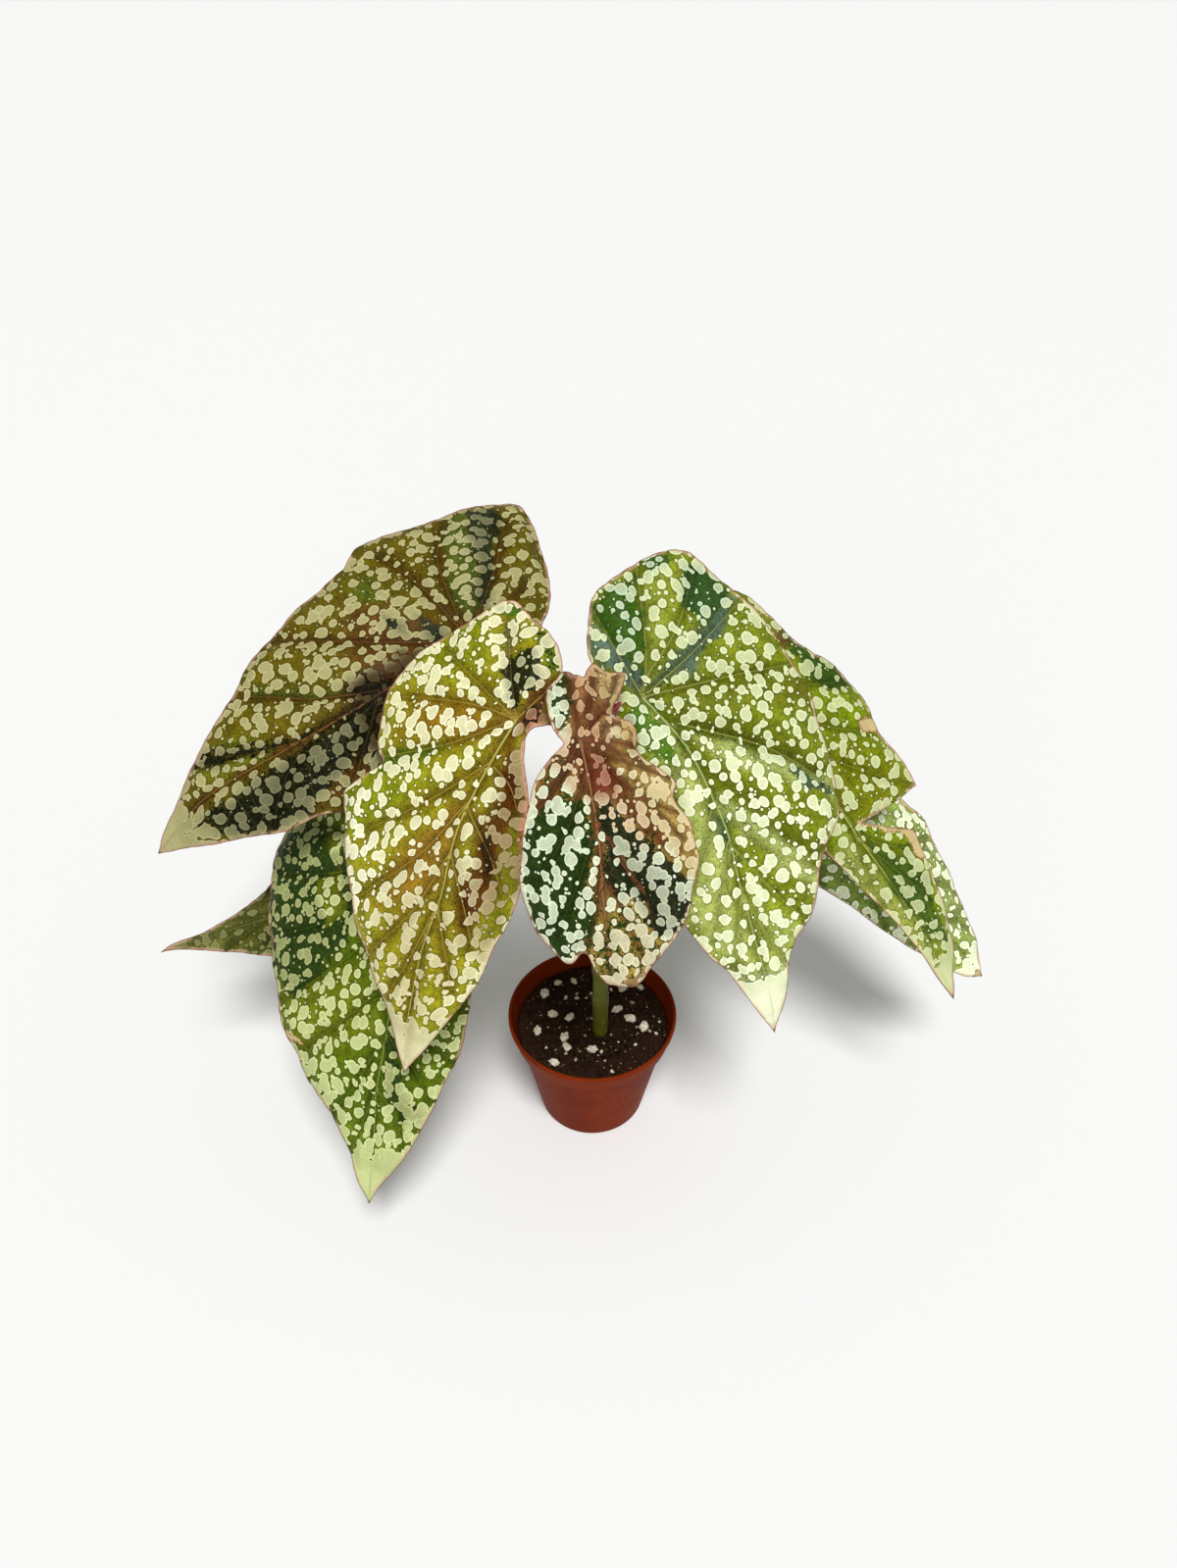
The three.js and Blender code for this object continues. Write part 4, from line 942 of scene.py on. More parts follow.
def spreadGrid(piece, leaf):
    # the square grid becomes the flat leaf: each square ring of it is a smaller copy of the margin
    grid = readPlaces(piece)[:, :2]
    level = np.maximum(np.abs(grid[:, 0]), np.abs(grid[:, 1]))
    x, y = (grid / np.maximum(level, 1e-9)[:, None]).T
    turn = np.select([x > 1 - 1e-6, y > 1 - 1e-6, x < -1 + 1e-6],
                     [(y + 1) / 8, 0.25 + (1 - x) / 8, 0.5 + (1 - y) / 8], 0.75 + (x + 1) / 8) % 1.0
    degrees = np.linspace(0, 360, 2881)
    radius = outlineRadius(leaf["outline"], np.minimum(degrees, 359.999))
    margin = np.column_stack([radius * np.cos(np.radians(degrees)), radius * np.sin(np.radians(degrees))])
    lengths = np.concatenate([[0], np.cumsum(np.linalg.norm(np.diff(margin, axis=0), axis=1))])
    lengths /= lengths[-1]
    flat = np.column_stack([np.interp(turn, lengths, margin[:, 0]), np.interp(turn, lengths, margin[:, 1])])
    notches = np.abs(np.sin(turn * math.pi * leafShape["toothCount"])) ** 3
    teeth = leafShape["teeth"] * notches * smooth(level, 0.9, 1.0)
    outward = flat / np.maximum(np.linalg.norm(flat, axis=1), 1e-9)[:, None]
    wave = leafShape["wave"] * noiseAt(flat, leafShape["waveScale"], 7.3) * level**3
    flat = flat * (level ** leafShape["ringPower"])[:, None] + outward * (wave - teeth)[:, None]
    writePlaces(piece, np.column_stack([flat, np.zeros(len(flat))]))


def middles(shape):
    return np.array([face.calc_center_median().to_2d() for face in shape.faces])


def cutTear(piece, leaf):
    # the torn notch: two straight cuts, then the faces between them go
    inner, lower, upper = (np.array(corner, float) for corner in leaf["tear"])
    reach = leafShape["tearLength"]
    far = [inner + reach * (lower - inner), inner + reach * (upper - inner)]
    triangle = np.array([inner, *far])
    around = inner + 1.3 * (triangle - triangle.mean(0))
    shape = bmesh.new()
    shape.from_mesh(piece.data)
    for corner in far:
        near = inPatch(middles(shape), around, 6.0) > 0
        picked = [face for face, isNear in zip(shape.faces, near) if isNear]
        picked += list({e for f in picked for e in f.edges}) + list({v for f in picked for v in f.verts})
        side = Vector((*(corner - inner), 0))
        bmesh.ops.bisect_plane(shape, geom=picked, plane_co=(*inner, 0),
                               plane_no=side.cross(Vector((0, 0, 1))), dist=1e-4)
    inside = inPatch(middles(shape), triangle, 1e-6) > 0.5
    gone = [face for face, isInside in zip(shape.faces, inside) if isInside]
    bmesh.ops.delete(shape, geom=gone, context="FACES")
    shape.to_mesh(piece.data)
    shape.free()


def writeAttribute(piece, name, *columns):
    values = np.column_stack(columns)
    if values.shape[1] == 4:
        made = piece.data.color_attributes.new(name=name, type="FLOAT_COLOR", domain="POINT")
        made.data.foreach_set("color", values.astype(np.float32).ravel())
    else:
        values = np.pad(values, ((0, 0), (0, 3 - values.shape[1])))
        made = piece.data.attributes.new(name=name, type="FLOAT_VECTOR", domain="POINT")
        made.data.foreach_set("vector", values.astype(np.float32).ravel())


def marginOf(piece):
    shape = bmesh.new()
    shape.from_mesh(piece.data)
    ends = [[v.co.to_2d() for v in edge.verts] for edge in shape.edges if edge.is_boundary]
    shape.free()
    return np.array([e[0] for e in ends]), np.array([e[1] for e in ends])


def measureVeins(leaf, flat):
    # for each place: mm to the nearest vein, the way to it in vein widths, is it the midrib, its thickness
    lines = [(smoothLine(leaf["midrib"], 14), leafShape["midribWidth"])]
    lines += [(smoothLine(vein), leafShape["veinWidth"]) for vein in leaf["veins"]]
    starts = np.vstack([line[:-1] for line, _ in lines])
    ends = np.vstack([line[1:] for line, _ in lines])
    widths = np.concatenate([np.linspace(*width, len(line) - 1) for line, width in lines])
    span, which, along = toSegments(flat, starts, ends)
    nearest = starts[which] + along[:, None] * (ends[which] - starts[which])
    onMidrib = which < len(lines[0][0]) - 1
    return span, (flat - nearest) / widths[which][:, None], onMidrib, widths[which] / widths.max()


def colourLeaf(piece, leaf, number, flat, veinSpan, edgeSpan, onMidrib, thick):
    # what the leaf finishes read: tissue, dark patches, dots, ribs and the distances that steer them
    count = len(flat)
    drift = 0
    for scale, share, *seeds in leafShape["patchDrift"]:
        drift = drift + share * np.column_stack([noiseAt(flat, scale, seed + number) for seed in seeds])
    swayed = flat + leafShape["patchSway"] * drift

    # veinTone darkens the tissue beside the veins: partly the veins' own tint, partly painted shade of the
    # furrows
    tone, reach, strength = leaf["veinTone"]
    beside = strength * np.exp(-(veinSpan / reach) ** 2) * np.sqrt(thick)
    tint = dye(evenly(leaf["base"], count), tone, beside)
    for colour, softness, corners in leaf["patches"]:
        tint = dye(tint, colour, leafShape["patchShare"] * inPatch(swayed, corners, softness))
    # crease lays the same darkening along the young leaf's veins and folds, over its patches: partly vein
    # tint, partly painted shade of the folds
    if "crease" in leaf:
        tone, reach, strength = leaf["crease"]
        tint = dye(tint, tone, strength * np.exp(-(veinSpan / reach) ** 2))

    deepTint, deepMask, dryMask = evenly(leaf["deepTone"], count), np.zeros(count), np.zeros(count)
    for softness, corners, *tone in leaf["deepPatches"]:
        part = inPatch(swayed, corners, softness + leafShape["deepSoftness"])
        deepTint = dye(deepTint, tone[0] if tone else leaf["deepTone"], np.where(part > deepMask, 1, 0))
        deepMask = np.maximum(deepMask, part)
    for strength, softness, corners in leaf["specks"]:
        deepMask = np.maximum(deepMask, strength * inPatch(swayed, corners, softness))
    for softness, corners in leaf["bare"]:
        deepMask *= 1 - leafShape["patchShare"] * inPatch(swayed, corners, softness)
    for softness, corners in leaf["dryPatches"]:
        dryMask = np.maximum(dryMask, inPatch(swayed, corners, softness))

    dotTint = dye(evenly(leaf["dots"], count), leaf["deepDots"], leafShape["deepDotShare"] * deepMask)
    for colour, softness, corners in leaf["dotPatches"]:
        dotTint = dye(dotTint, colour, inPatch(swayed, corners, softness))
    more = np.full(count, leaf["dotGrowth"])
    for amount, softness, corners in leaf["denser"]:
        more += amount * inPatch(swayed, corners, softness)

    midribTone, sideTone = leaf["ribs"]
    rib = np.where(onMidrib[:, None], paint(*midribTone), paint(*sideTone))
    atEdges = 3.6 * deepMask * (1 - deepMask)
    fleck = leaf["fleck"] * np.maximum(np.exp(-(veinSpan / leafShape["fleckReach"]) ** 2), atEdges)
    tipSpan = spanFrom(flat, (leaf["outline"][0][1], 0)) - leaf["tipLength"]
    writeAttribute(piece, "tint", tint)
    writeAttribute(piece, "deep", deepTint)
    writeAttribute(piece, "dotTint", dotTint)
    writeAttribute(piece, "rib", rib)
    writeAttribute(piece, "spans", veinSpan, edgeSpan, tipSpan)
    writeAttribute(piece, "moods", deepMask, fleck, dryMask)
    writeAttribute(piece, "dotMood", more, spanFrom(flat))


def mapLeaf(piece, leaf, number, flat):
    mapped = flat * leaf["dotScale"] / 100 + np.array(leafShape["mapSpread"]) * number
    layer = piece.data.uv_layers.new(name="leafMap")
    corners = np.empty(len(piece.data.loops), int)
    piece.data.loops.foreach_get("vertex_index", corners)
    layer.data.foreach_set("uv", mapped[corners].astype(np.float32).ravel())


def raiseLeaf(leaf, number, flat, veinSpan, edgeSpan):
    # the raised tissue between the veins, the crumpled and rippled parts and the rolled edges
    pillow = 1 - np.exp(-(veinSpan / leafShape["quiltReach"]) ** 1.4)
    lift = leafShape["quilt"] * pillow * np.clip(edgeSpan / 6, 0.3, 1)
    amount, scale = leaf["crumple"]
    if "crumpleAt" in leaf:
        centre, radius, rest = leaf["crumpleAt"]
        amount = rest + (amount - rest) * bulge(flat, centre, radius)
    lift += amount * (noiseAt(flat, scale, 3.1 * number) + 0.4 * noiseAt(flat, 2.3 * scale, 5.7 * number))
    ripple = leafShape["wave"] * noiseAt(flat, leafShape["waveScale"], 9.3 * number + 4)
    lift += leaf["ripple"] * ripple * (1 - smooth(edgeSpan, 0, leafShape["rippleReach"]))
    if "ruffle" in leaf:
        height, waves, middle, halfWidth = leaf["ruffle"]
        turn = np.degrees(np.arctan2(flat[:, 1], flat[:, 0])) % 360
        window = 1 - smooth(np.abs(turn - middle), 0.6 * halfWidth, halfWidth)
        lift += height * window * spanFrom(flat) / 30 * np.sin(np.radians(turn) * waves)
    for centre, radius, height in leaf["curls"]:
        lift += height * bulge(flat, centre, radius) * (1 - smooth(edgeSpan, 0, leafShape["curlReach"]))
    return lift * smooth(spanFrom(flat), *leafShape["flatJoint"])


def growLeaf(key, leaf, number):
    pickNone()
    squares = leafShape["grid"]
    bpy.ops.mesh.primitive_grid_add(x_subdivisions=squares, y_subdivisions=squares, size=2)
    piece = bpy.context.object
    while piece.data.uv_layers:
        piece.data.uv_layers.remove(piece.data.uv_layers[0])
    spreadGrid(piece, leaf)
    if "tear" in leaf:
        cutTear(piece, leaf)
    flat = readPlaces(piece)[:, :2]
    veinSpan, veinAway, onMidrib, thick = measureVeins(leaf, flat)
    edgeSpan = toSegments(flat, *marginOf(piece))[0]
    writeAttribute(piece, "veinAway", veinAway)
    colourLeaf(piece, leaf, number, flat, veinSpan, edgeSpan, onMidrib, thick)
    mapLeaf(piece, leaf, number, flat)
    lift = raiseLeaf(leaf, number, flat, veinSpan, edgeSpan)
    writePlaces(piece, layOnLeaf(leaf, flat[:, 0], flat[:, 1], lift) * mm)
    piece.data.materials.append(leafTop)
    piece.data.materials.append(leafUnder)
    shell = piece.modifiers.new("thickness", "SOLIDIFY")
    shell.thickness, shell.offset, shell.material_offset = leafShape["thickness"] * mm, 0, 1
    applyModifiers(piece)
    bpy.ops.object.shade_smooth()
    finishPiece(piece, "blade_" + key, None, ["leaf_" + key])


for number, (key, leaf) in enumerate(leaves.items()):
    growLeaf(key, {**usualLeaf, **leaf}, number + 1)
print("leaves grown")


# cane and petioles
cane = {
    "x": 3.8, "y": -4.5, "bow": 4, "foot": 26.3, "soilTop": 54, "top": 238, "step": 0.8, "bodyRadius": 3.7,
    "topRadius": 2.6, "footRadius": 3.4, "swelling": 0.7, "firstSwelling": 0.5, "swellingHeight": 4.0,
    "lowerNodes": (76, 98, 120), "scarHeight": 0.9, "petioleRadius": 1.5, "petioleSteps": 60,
    "petioleGap": 0.35, "notchClearance": 2, "notchReach": 1.6, "green": paint(82, 90, 8),
    "lightGreen": paint(112, 116, 18), "flush": paint(150, 78, 66), "old": paint(92, 90, 26),
    "fibre": paint(86, 84, 34), "pore": paint(170, 172, 116), "scar": paint(104, 80, 40),
}
caneNodes = list(cane["lowerNodes"]) + [leaf["node"] for leaf in leaves.values()]


def caneAxis(height):
    rise = max(0, (height - cane["soilTop"]) / (cane["top"] - cane["soilTop"]))
    return np.array([cane["x"], cane["y"] + cane["bow"] * rise**2, height])


def caneRadius(height):
    if height < cane["soilTop"]:
        return cane["footRadius"]
    rise = (height - cane["soilTop"]) / (cane["top"] - cane["soilTop"])
    radius = cane["bodyRadius"] + (cane["topRadius"] - cane["bodyRadius"]) * rise
    for node in caneNodes:
        swell = cane["firstSwelling"] if node == caneNodes[0] else cane["swelling"]
        radius += swell * math.exp(-((height - node) / cane["swellingHeight"]) ** 2)
    return radius


def buildStem():
    material, shader = newMaterial("stemSkin")
    place = objectPlace()
    flush, scar, age = splitUp(readAttribute("stemParts"))
    stretched = vectorCalc("MULTIPLY", place, (1.0, 1.0, 0.35))
    fibre = speckle(stretched, 1.4, 3.0, 0.6)
    colour = blend(fade(speckle(place, 0.12, 3.0), 0.3, 0.7), cane["green"], cane["lightGreen"])
    colour = blend(times(flush, fade(fibre, 0.3, 0.6, 0.6, 1.0)), colour, cane["flush"])
    colour = blend(times(age, 0.6), colour, cane["old"])
    colour = blend(fade(fibre, 0.55, 0.75, 0.0, 0.35), colour, cane["fibre"])
    cells = put("TexVoronoi", {"Vector": stretched, "Scale": 0.62, "Randomness": 1.0})
    pores = fade(timesPlus(chances(cells)[0], -0.16, cells.outputs["Distance"]), 0.02, 0.1, 1.0, 0.0)
    colour = blend(times(pores, 0.7), colour, cane["pore"])
    ring = times(scar, fade(fibre, 0.3, 0.6, 0.55, 1.0))
    plug(shader.inputs["Base Color"], blend(times(ring, 0.4), colour, cane["scar"]))
    plug(shader.inputs["Roughness"], fade(fibre, 0.3, 0.7, 0.34, 0.5))
    bump(shader, timesPlus(pores, 0.5, fibre), 0.35, 0.0003)
    return material


stemSkin = buildStem()


def drawTube(points, radii, sides):
    pickNone()
    bpy.ops.curve.primitive_nurbs_path_add()
    tube = bpy.context.object
    tube.data.splines.clear()
    spline = tube.data.splines.new("POLY")
    spline.points.add(len(points) - 1)
    for place, point, radius in zip(spline.points, points, radii):
        place.co = (*(np.asarray(point) * mm), 1)
        place.radius = radius
    tube.data.dimensions = "3D"
    tube.data.bevel_depth, tube.data.bevel_resolution, tube.data.use_fill_caps = mm, sides, True
    bpy.ops.object.convert(target="MESH")
    tube = bpy.context.object
    cleanUp(tube)
    bpy.ops.object.shade_smooth_by_angle(angle=math.radians(50))
    return tube


def growCane():
    top = cane["top"]
    heights = np.concatenate([np.arange(cane["foot"], top, cane["step"]), [top, top + 0.5]])
    radii = [caneRadius(h) for h in heights]
    radii[-1] *= 0.8
    piece = drawTube([caneAxis(h) for h in heights], radii, 10)
    x, y, z = readPlaces(piece).T / mm
    scar = np.zeros(len(z))
    for node in caneNodes:
        ripple = 0.7 * np.sin(2 * np.arctan2(y - cane["y"], x - cane["x"]) + node)
        scar = np.maximum(scar, np.exp(-((z - node - ripple) / cane["scarHeight"]) ** 2))
    writeAttribute(piece, "stemParts", 0.5 * smooth(z, 170, 236), scar, 1 - smooth(z, 54, 130))
    finishPiece(piece, "cane_green", stemSkin, ["cane"])


def growPetiole(key, leaf):
    axis, joint = caneAxis(leaf["node"]), np.array(leaf["joint"], float)
    sideways = unit((joint - axis) * (1, 1, 0))
    lean = math.radians(leaf["lean"])
    thickness = cane["petioleRadius"]
    start = axis + sideways * (caneRadius(leaf["node"]) - 0.4 + thickness * math.sin(lean) * 0.6)
    leaving = sideways * math.cos(lean) + np.array([0, 0, math.sin(lean)])
    zero = np.zeros(1)
    meeting = layOnLeaf(leaf, zero, zero, zero + 1)[0] - joint
    end = layOnLeaf(leaf, zero, zero, zero - cane["petioleGap"])[0]
    if "notch" in leaf:
        turn = math.radians(leaf["notch"])
        inner = outlineRadius(leaf["outline"], [leaf["notch"]]) + cane["notchClearance"]
        end = layOnLeaf(leaf, inner * math.cos(turn), inner * math.sin(turn), zero)[0]
        meeting = unit(joint - end)
        end = end + meeting * cane["notchReach"]
    first, last = np.linalg.norm(end - start) * np.array(leaf["reach"])
    a, b, c, d = start, start + leaving * first, end - meeting * last, end
    steps = np.linspace(0, 1, cane["petioleSteps"])
    t = steps[:, None]
    points = (1 - t) ** 3 * a + 3 * (1 - t) ** 2 * t * b + 3 * (1 - t) * t**2 * c + t**3 * d
    swell = 0.35 * np.exp(-(steps / 0.05) ** 2) + 0.12 * np.exp(-((1 - steps) / 0.04) ** 2)
    piece = drawTube(points, thickness * (1 + swell - 0.06 * np.sin(steps * math.pi)), 7)
    along = np.array([np.argmin(spanFrom(points, p)) for p in readPlaces(piece) / mm]) / (len(points) - 1)
    flush = 0.25 + 0.65 * smooth(along, 0.45, 1.0) + 0.3 * (1 - smooth(along, 0, 0.1))
    writeAttribute(piece, "stemParts", flush, 0.6 * (along < 0.02))
    finishPiece(piece, "stalk_" + key, stemSkin, ["petiole_" + key])


growCane()
for key, leaf in leaves.items():
    growPetiole(key, {**usualLeaf, **leaf})
print("cane and stalks grown")


# the red bud at the tip of the cane, a folded sheath
bud = {
    "foot": (4.7, -1.3, 239.4), "lean": (.4, -.5, .75), "length": 14, "radius": 2, "bend": 0.9,
    "flatness": 0.82, "furrow": 0.22,
    "profile": ([0, .03, .1, .3, .6, .85, .95, 1], [0, .55, .8, 1, .8, .42, .22, 0.0]),  # rise, width
    "dark": paint(128, 18, 26), "red": paint(186, 44, 52), "blush": paint(196, 110, 90),
}


def buildBudSkin():
    material, shader = newMaterial("budSkin")
    place = objectPlace()
    streak = speckle(vectorCalc("MULTIPLY", place, (1.0, 1.0, 0.3)), 1.2, 3.0)
    colour = blend(fade(streak, 0.3, 0.7), bud["dark"], bud["red"])
    colour = blend(fade(speckle(place, 0.4), 0.55, 0.75, 0.0, 0.5), colour, bud["blush"])
    plug(shader.inputs["Base Color"], colour)
    shader.inputs["Roughness"].default_value = 0.38
    bump(shader, streak, 0.4, 0.0003)
    return material


def growBud():
    pickNone()
    bpy.ops.mesh.primitive_uv_sphere_add(segments=48, ring_count=40, radius=1)
    piece = bpy.context.object
    places = readPlaces(piece)
    rise = (places[:, 2] + 1) / 2
    turn = np.arctan2(places[:, 1], places[:, 0])
    furrow = 1 - bud["furrow"] * np.exp(-((turn - 2.2 * rise + 0.6) / 0.28) ** 2)
    furrow += 0.06 * np.cos(3 * turn + 2 * rise)
    radius = bud["radius"] * np.interp(rise, *bud["profile"]) * furrow
    forward = bud["flatness"] * radius * np.sin(turn) + bud["bend"] * np.sin(rise * math.pi / 2) ** 2
    up = unit(bud["lean"])
    side = unit(np.cross((0, 1, 0), up))
    ways = np.array([side, np.cross(up, side), up])
    amounts = np.column_stack([radius * np.cos(turn), forward, rise * bud["length"]])
    writePlaces(piece, (np.array(bud["foot"]) + amounts @ ways) * mm)
    cleanUp(piece)
    bpy.ops.object.shade_smooth()
    finishPiece(piece, "bud_sheath", buildBudSkin(), ["tip_bud"])


growBud()


# the pot
pot = {
    "height": 62, "rimRadius": 40, "collarFoot": 51, "collarRadius": 37.4, "shoulderRadius": 35.4,
    "baseRadius": 25.5, "wall": 1, "floor": 1.2, "slope": 1.5, "steps": 128, "holes": 8, "holeRadius": 2.5,
    "holeRing": 19, "edgeRound": 0.35, "dark": paint(104, 32, 4), "light": paint(122, 42, 8),
    "scuff": paint(146, 62, 24), "dust": paint(98, 46, 24), "soilMark": paint(66, 46, 34), "gloss": 0.02,
}


def buildPotPlastic():
    material, shader = newMaterial("potPlastic")
    place = objectPlace()
    fine = speckle(place, 0.8, 4.0, 0.6)
    colour = blend(fade(speckle(place, 0.035, 3.0, 0.55), 0.3, 0.7), pot["dark"], pot["light"])
    scuffs = fade(speckle(vectorCalc("MULTIPLY", place, (0.25, 0.25, 2.4)), 0.5, 4.0, 0.7), 0.6, 0.72)
    colour = blend(times(scuffs, 0.25), colour, pot["scuff"])
    dust = fade(speckle(place, 0.09, 5.0, 0.65), 0.5, 0.78, 0.0, 0.22)
    colour = blend(dust, colour, pot["dust"])
    soilMark = times(fade(splitUp(place)[2], 0.0, 7.0, 0.4, 0.0), fade(fine, 0.45, 0.6))
    plug(shader.inputs["Base Color"], blend(soilMark, colour, pot["soilMark"]))
    plug(shader.inputs["Roughness"], timesPlus(dust, 0.4, fade(fine, 0.3, 0.7, 0.42, 0.56)))
    bump(shader, timesPlus(scuffs, 0.2, fine), 0.12, 0.0003)
    shader.inputs["Specular IOR Level"].default_value = pot["gloss"]
    return material


def makePot():
    top, collarFoot, wall = pot["height"], pot["collarFoot"], pot["wall"]
    rim, collar, shoulder, base = (pot[name + "Radius"] for name in ("rim", "collar", "shoulder", "base"))
    profile = [
        (0, 0), (base - 2.6, 0), (base - 2.2, .5), (base - 1.2, .5), (base - .8, 0), (base, .8),
        (shoulder, collarFoot), (collar, collarFoot), (rim - .5, top - 2.2), (rim, top - 2), (rim, top),
        (rim - 1.3, top), (rim - 1.6, top - 2), (collar - wall, collarFoot),
        (shoulder - wall - .3, collarFoot - pot["slope"]), (base - wall + .3, pot["floor"]),
        (0, pot["floor"]),
    ]
    pickNone()
    bpy.ops.mesh.primitive_plane_add(size=0.001)
    piece = bpy.context.object
    bpy.ops.object.mode_set(mode="EDIT")
    bpy.ops.mesh.merge(type="CENTER")
    for (r0, z0), (r1, z1) in zip(profile, profile[1:]):
        step = ((r1 - r0) * mm, 0, (z1 - z0) * mm)
        bpy.ops.mesh.extrude_region_move(TRANSFORM_OT_translate={"value": step})
    bpy.ops.mesh.select_all(action="SELECT")
    bpy.ops.mesh.spin(steps=pot["steps"], angle=2 * math.pi, center=(0, 0, 0), axis=(0, 0, 1))
    bpy.ops.object.mode_set(mode="OBJECT")
    cleanUp(piece)
    cutters = []
    ring, radius = pot["holeRing"] * mm, pot["holeRadius"] * mm
    for i in range(pot["holes"]):
        turn = 2 * math.pi * i / pot["holes"]
        place = (ring * math.cos(turn), ring * math.sin(turn), 0)
        pickNone()
        bpy.ops.mesh.primitive_cylinder_add(vertices=32, radius=radius, depth=8 * mm, location=place)
        cutters.append(bpy.context.object)
    cutter = joinPieces(cutters)
    rounding = piece.modifiers.new("edges", "BEVEL")
    rounding.width, rounding.segments, rounding.limit_method = pot["edgeRound"] * mm, 3, "ANGLE"
    rounding.angle_limit = math.radians(25)
    cut = piece.modifiers.new("holes", "BOOLEAN")
    cut.object, cut.operation, cut.solver = cutter, "DIFFERENCE", "EXACT"
    applyModifiers(piece)
    bpy.data.objects.remove(cutter)
    cleanUp(piece)
    bpy.ops.object.shade_smooth_by_angle(angle=math.radians(40))
    finishPiece(piece, "pot_shell", buildPotPlastic(), ["pot"])


makePot()
print("pot made")


# soil: a plug with a rough top, loose crumbs and fibres on it, and the perlite
soil = {
    "top": 54, "bottom": 1.5, "edge": 36.0, "lip": 33.6, "footRadius": 24.7, "wellRadius": 3.75,
    "wellFoot": 25.9, "segments": 224, "rings": 150, "seed": 11, "crumbs": 420, "fibres": 70,
    "smallPerlite": 46, "spread": 32.6, "dark": paint(18, 9, 4), "brown": paint(58, 34, 19),
    "pale": paint(60, 36, 20), "fleck": paint(84, 60, 38), "grit": paint(206, 190, 158), "gloss": 0.12,
}
perlite = {
    "dark": paint(212, 198, 170), "light": paint(238, 230, 210), "fleck": paint(150, 120, 88),
    "foot": paint(104, 76, 54), "fit": 1.04,
    "grains": [  # length and turn of each large one
        (5, 80), (3.5, 20), (3.5, 130), (4.5, 10), (4.5, 40), (4.5, 95), (4.5, 60), (4.5, 110),
        (4.5, 150), (4.5, 170), (4.5, 30), (5, 0), (5.5, 75), (4, 15), (3.5, 140)],
}


def soilRelief(x, y):
    rough = noise.fractal((x * 0.11, y * 0.11, 1.7), 0.9, 2.1, 5)
    lumps = noise.voronoi((x * 0.34, y * 0.34, 4.2))[0][0]
    fine = noise.noise((x * 0.9, y * 0.9, 7.9))
    return 1.1 * rough + 1.5 * (0.45 - lumps) + 0.45 * fine


def buildSoilSkin():
    material, shader = newMaterial("pottingMix")
    place = objectPlace()
    mid, fine = speckle(place, 0.7, 4.0, 0.65), speckle(place, 3.0, 3.0, 0.6)
    colour = blend(fade(mid, 0.32, 0.68), soil["dark"], soil["brown"])
    colour = blend(fade(speckle(place, 0.11, 3.0), 0.42, 0.7, 0.0, 0.45), colour, soil["pale"])
    colour = blend(fade(fine, 0.6, 0.72, 0.0, 0.45), colour, soil["fleck"])
    cells = put("TexVoronoi", {"Vector": place, "Scale": 0.9, "Randomness": 1.0})
    grit = fade(cells.outputs["Distance"], 0.22, 0.3, 1.0, 0.0)
    grit = times(calc("GREATER_THAN", chances(cells)[0], 0.93), grit)
    plug(shader.inputs["Base Color"], blend(times(grit, 0.8), colour, soil["grit"]))
    plug(shader.inputs["Roughness"], fade(mid, 0.3, 0.7, 0.72, 0.92))
    bump(shader, timesPlus(fine, 0.5, mid), 0.9, 0.0008)
    shader.inputs["Specular IOR Level"].default_value = soil["gloss"]
    return material


def buildPerliteSkin():
    material, shader = newMaterial("perliteCrust")
    place = objectPlace()
    mid, fine = speckle(place, 0.5, 3.0), speckle(place, 2.4, 3.0, 0.6)
    colour = blend(fade(mid, 0.35, 0.65), perlite["dark"], perlite["light"])
    colour = blend(fade(fine, 0.58, 0.74, 0.0, 0.55), colour, perlite["fleck"])
    colour = blend(fade(splitUp(place)[2], 54.2, 55.6, 0.6, 0.0), colour, perlite["foot"])
    plug(shader.inputs["Base Color"], colour)
    plug(shader.inputs["Roughness"], fade(fine, 0.3, 0.7, 0.7, 0.9))
    bump(shader, timesPlus(fine, 0.6, mid), 0.7, 0.0005)
    return material


soilSkin = buildSoilSkin()
perliteSkin = buildPerliteSkin()


def makeSoil():
    # rings of a sphere run from the foot of the cane's well, up it, over the top and down to the base:
    # distance from the middle, height, share of the rings
    edge, lip, well, top = soil["edge"], soil["lip"], soil["wellRadius"], soil["top"]
    track = [
        (0, soil["wellFoot"], 0), (well, soil["wellFoot"], .05), (well, 52.6, .12),
        (well + .7, top - .3, .14), (edge - .8, top, .83), (edge, top - 1.2, .84), (edge, 51.6, .85),
        (lip, 49, .87), (lip, 48.5, .88), (soil["footRadius"], soil["bottom"], .95), (0, soil["bottom"], 1),
    ]
    pickNone()
    bpy.ops.mesh.primitive_uv_sphere_add(segments=soil["segments"], ring_count=soil["rings"], radius=1)
    piece = bpy.context.object
    places = readPlaces(piece)
    share = np.arccos(np.clip(places[:, 2], -1, 1)) / math.pi
    turn = np.arctan2(places[:, 1], places[:, 0])
    radii, heights, shares = zip(*track)
    radius, height = np.interp(share, shares, radii), np.interp(share, shares, heights)
    centred = np.where(share < 0.5, 1 - np.clip((radius - 4.5) / (edge - 4.5), 0, 1), 0)
    x = radius * np.cos(turn) + centred * cane["x"]
    y = radius * np.sin(turn) + centred * cane["y"]
    onTop = smooth(share, 0.14, 0.17) * (1 - smooth(share, 0.82, 0.84))
    height = height + onTop * np.array([soilRelief(a, b) for a, b in zip(x, y)])
    writePlaces(piece, np.column_stack([x, y, height]) * mm)
    cleanUp(piece)
    bpy.ops.object.shade_smooth()
    finishPiece(piece, "soil_plug", soilSkin, ["soil"])


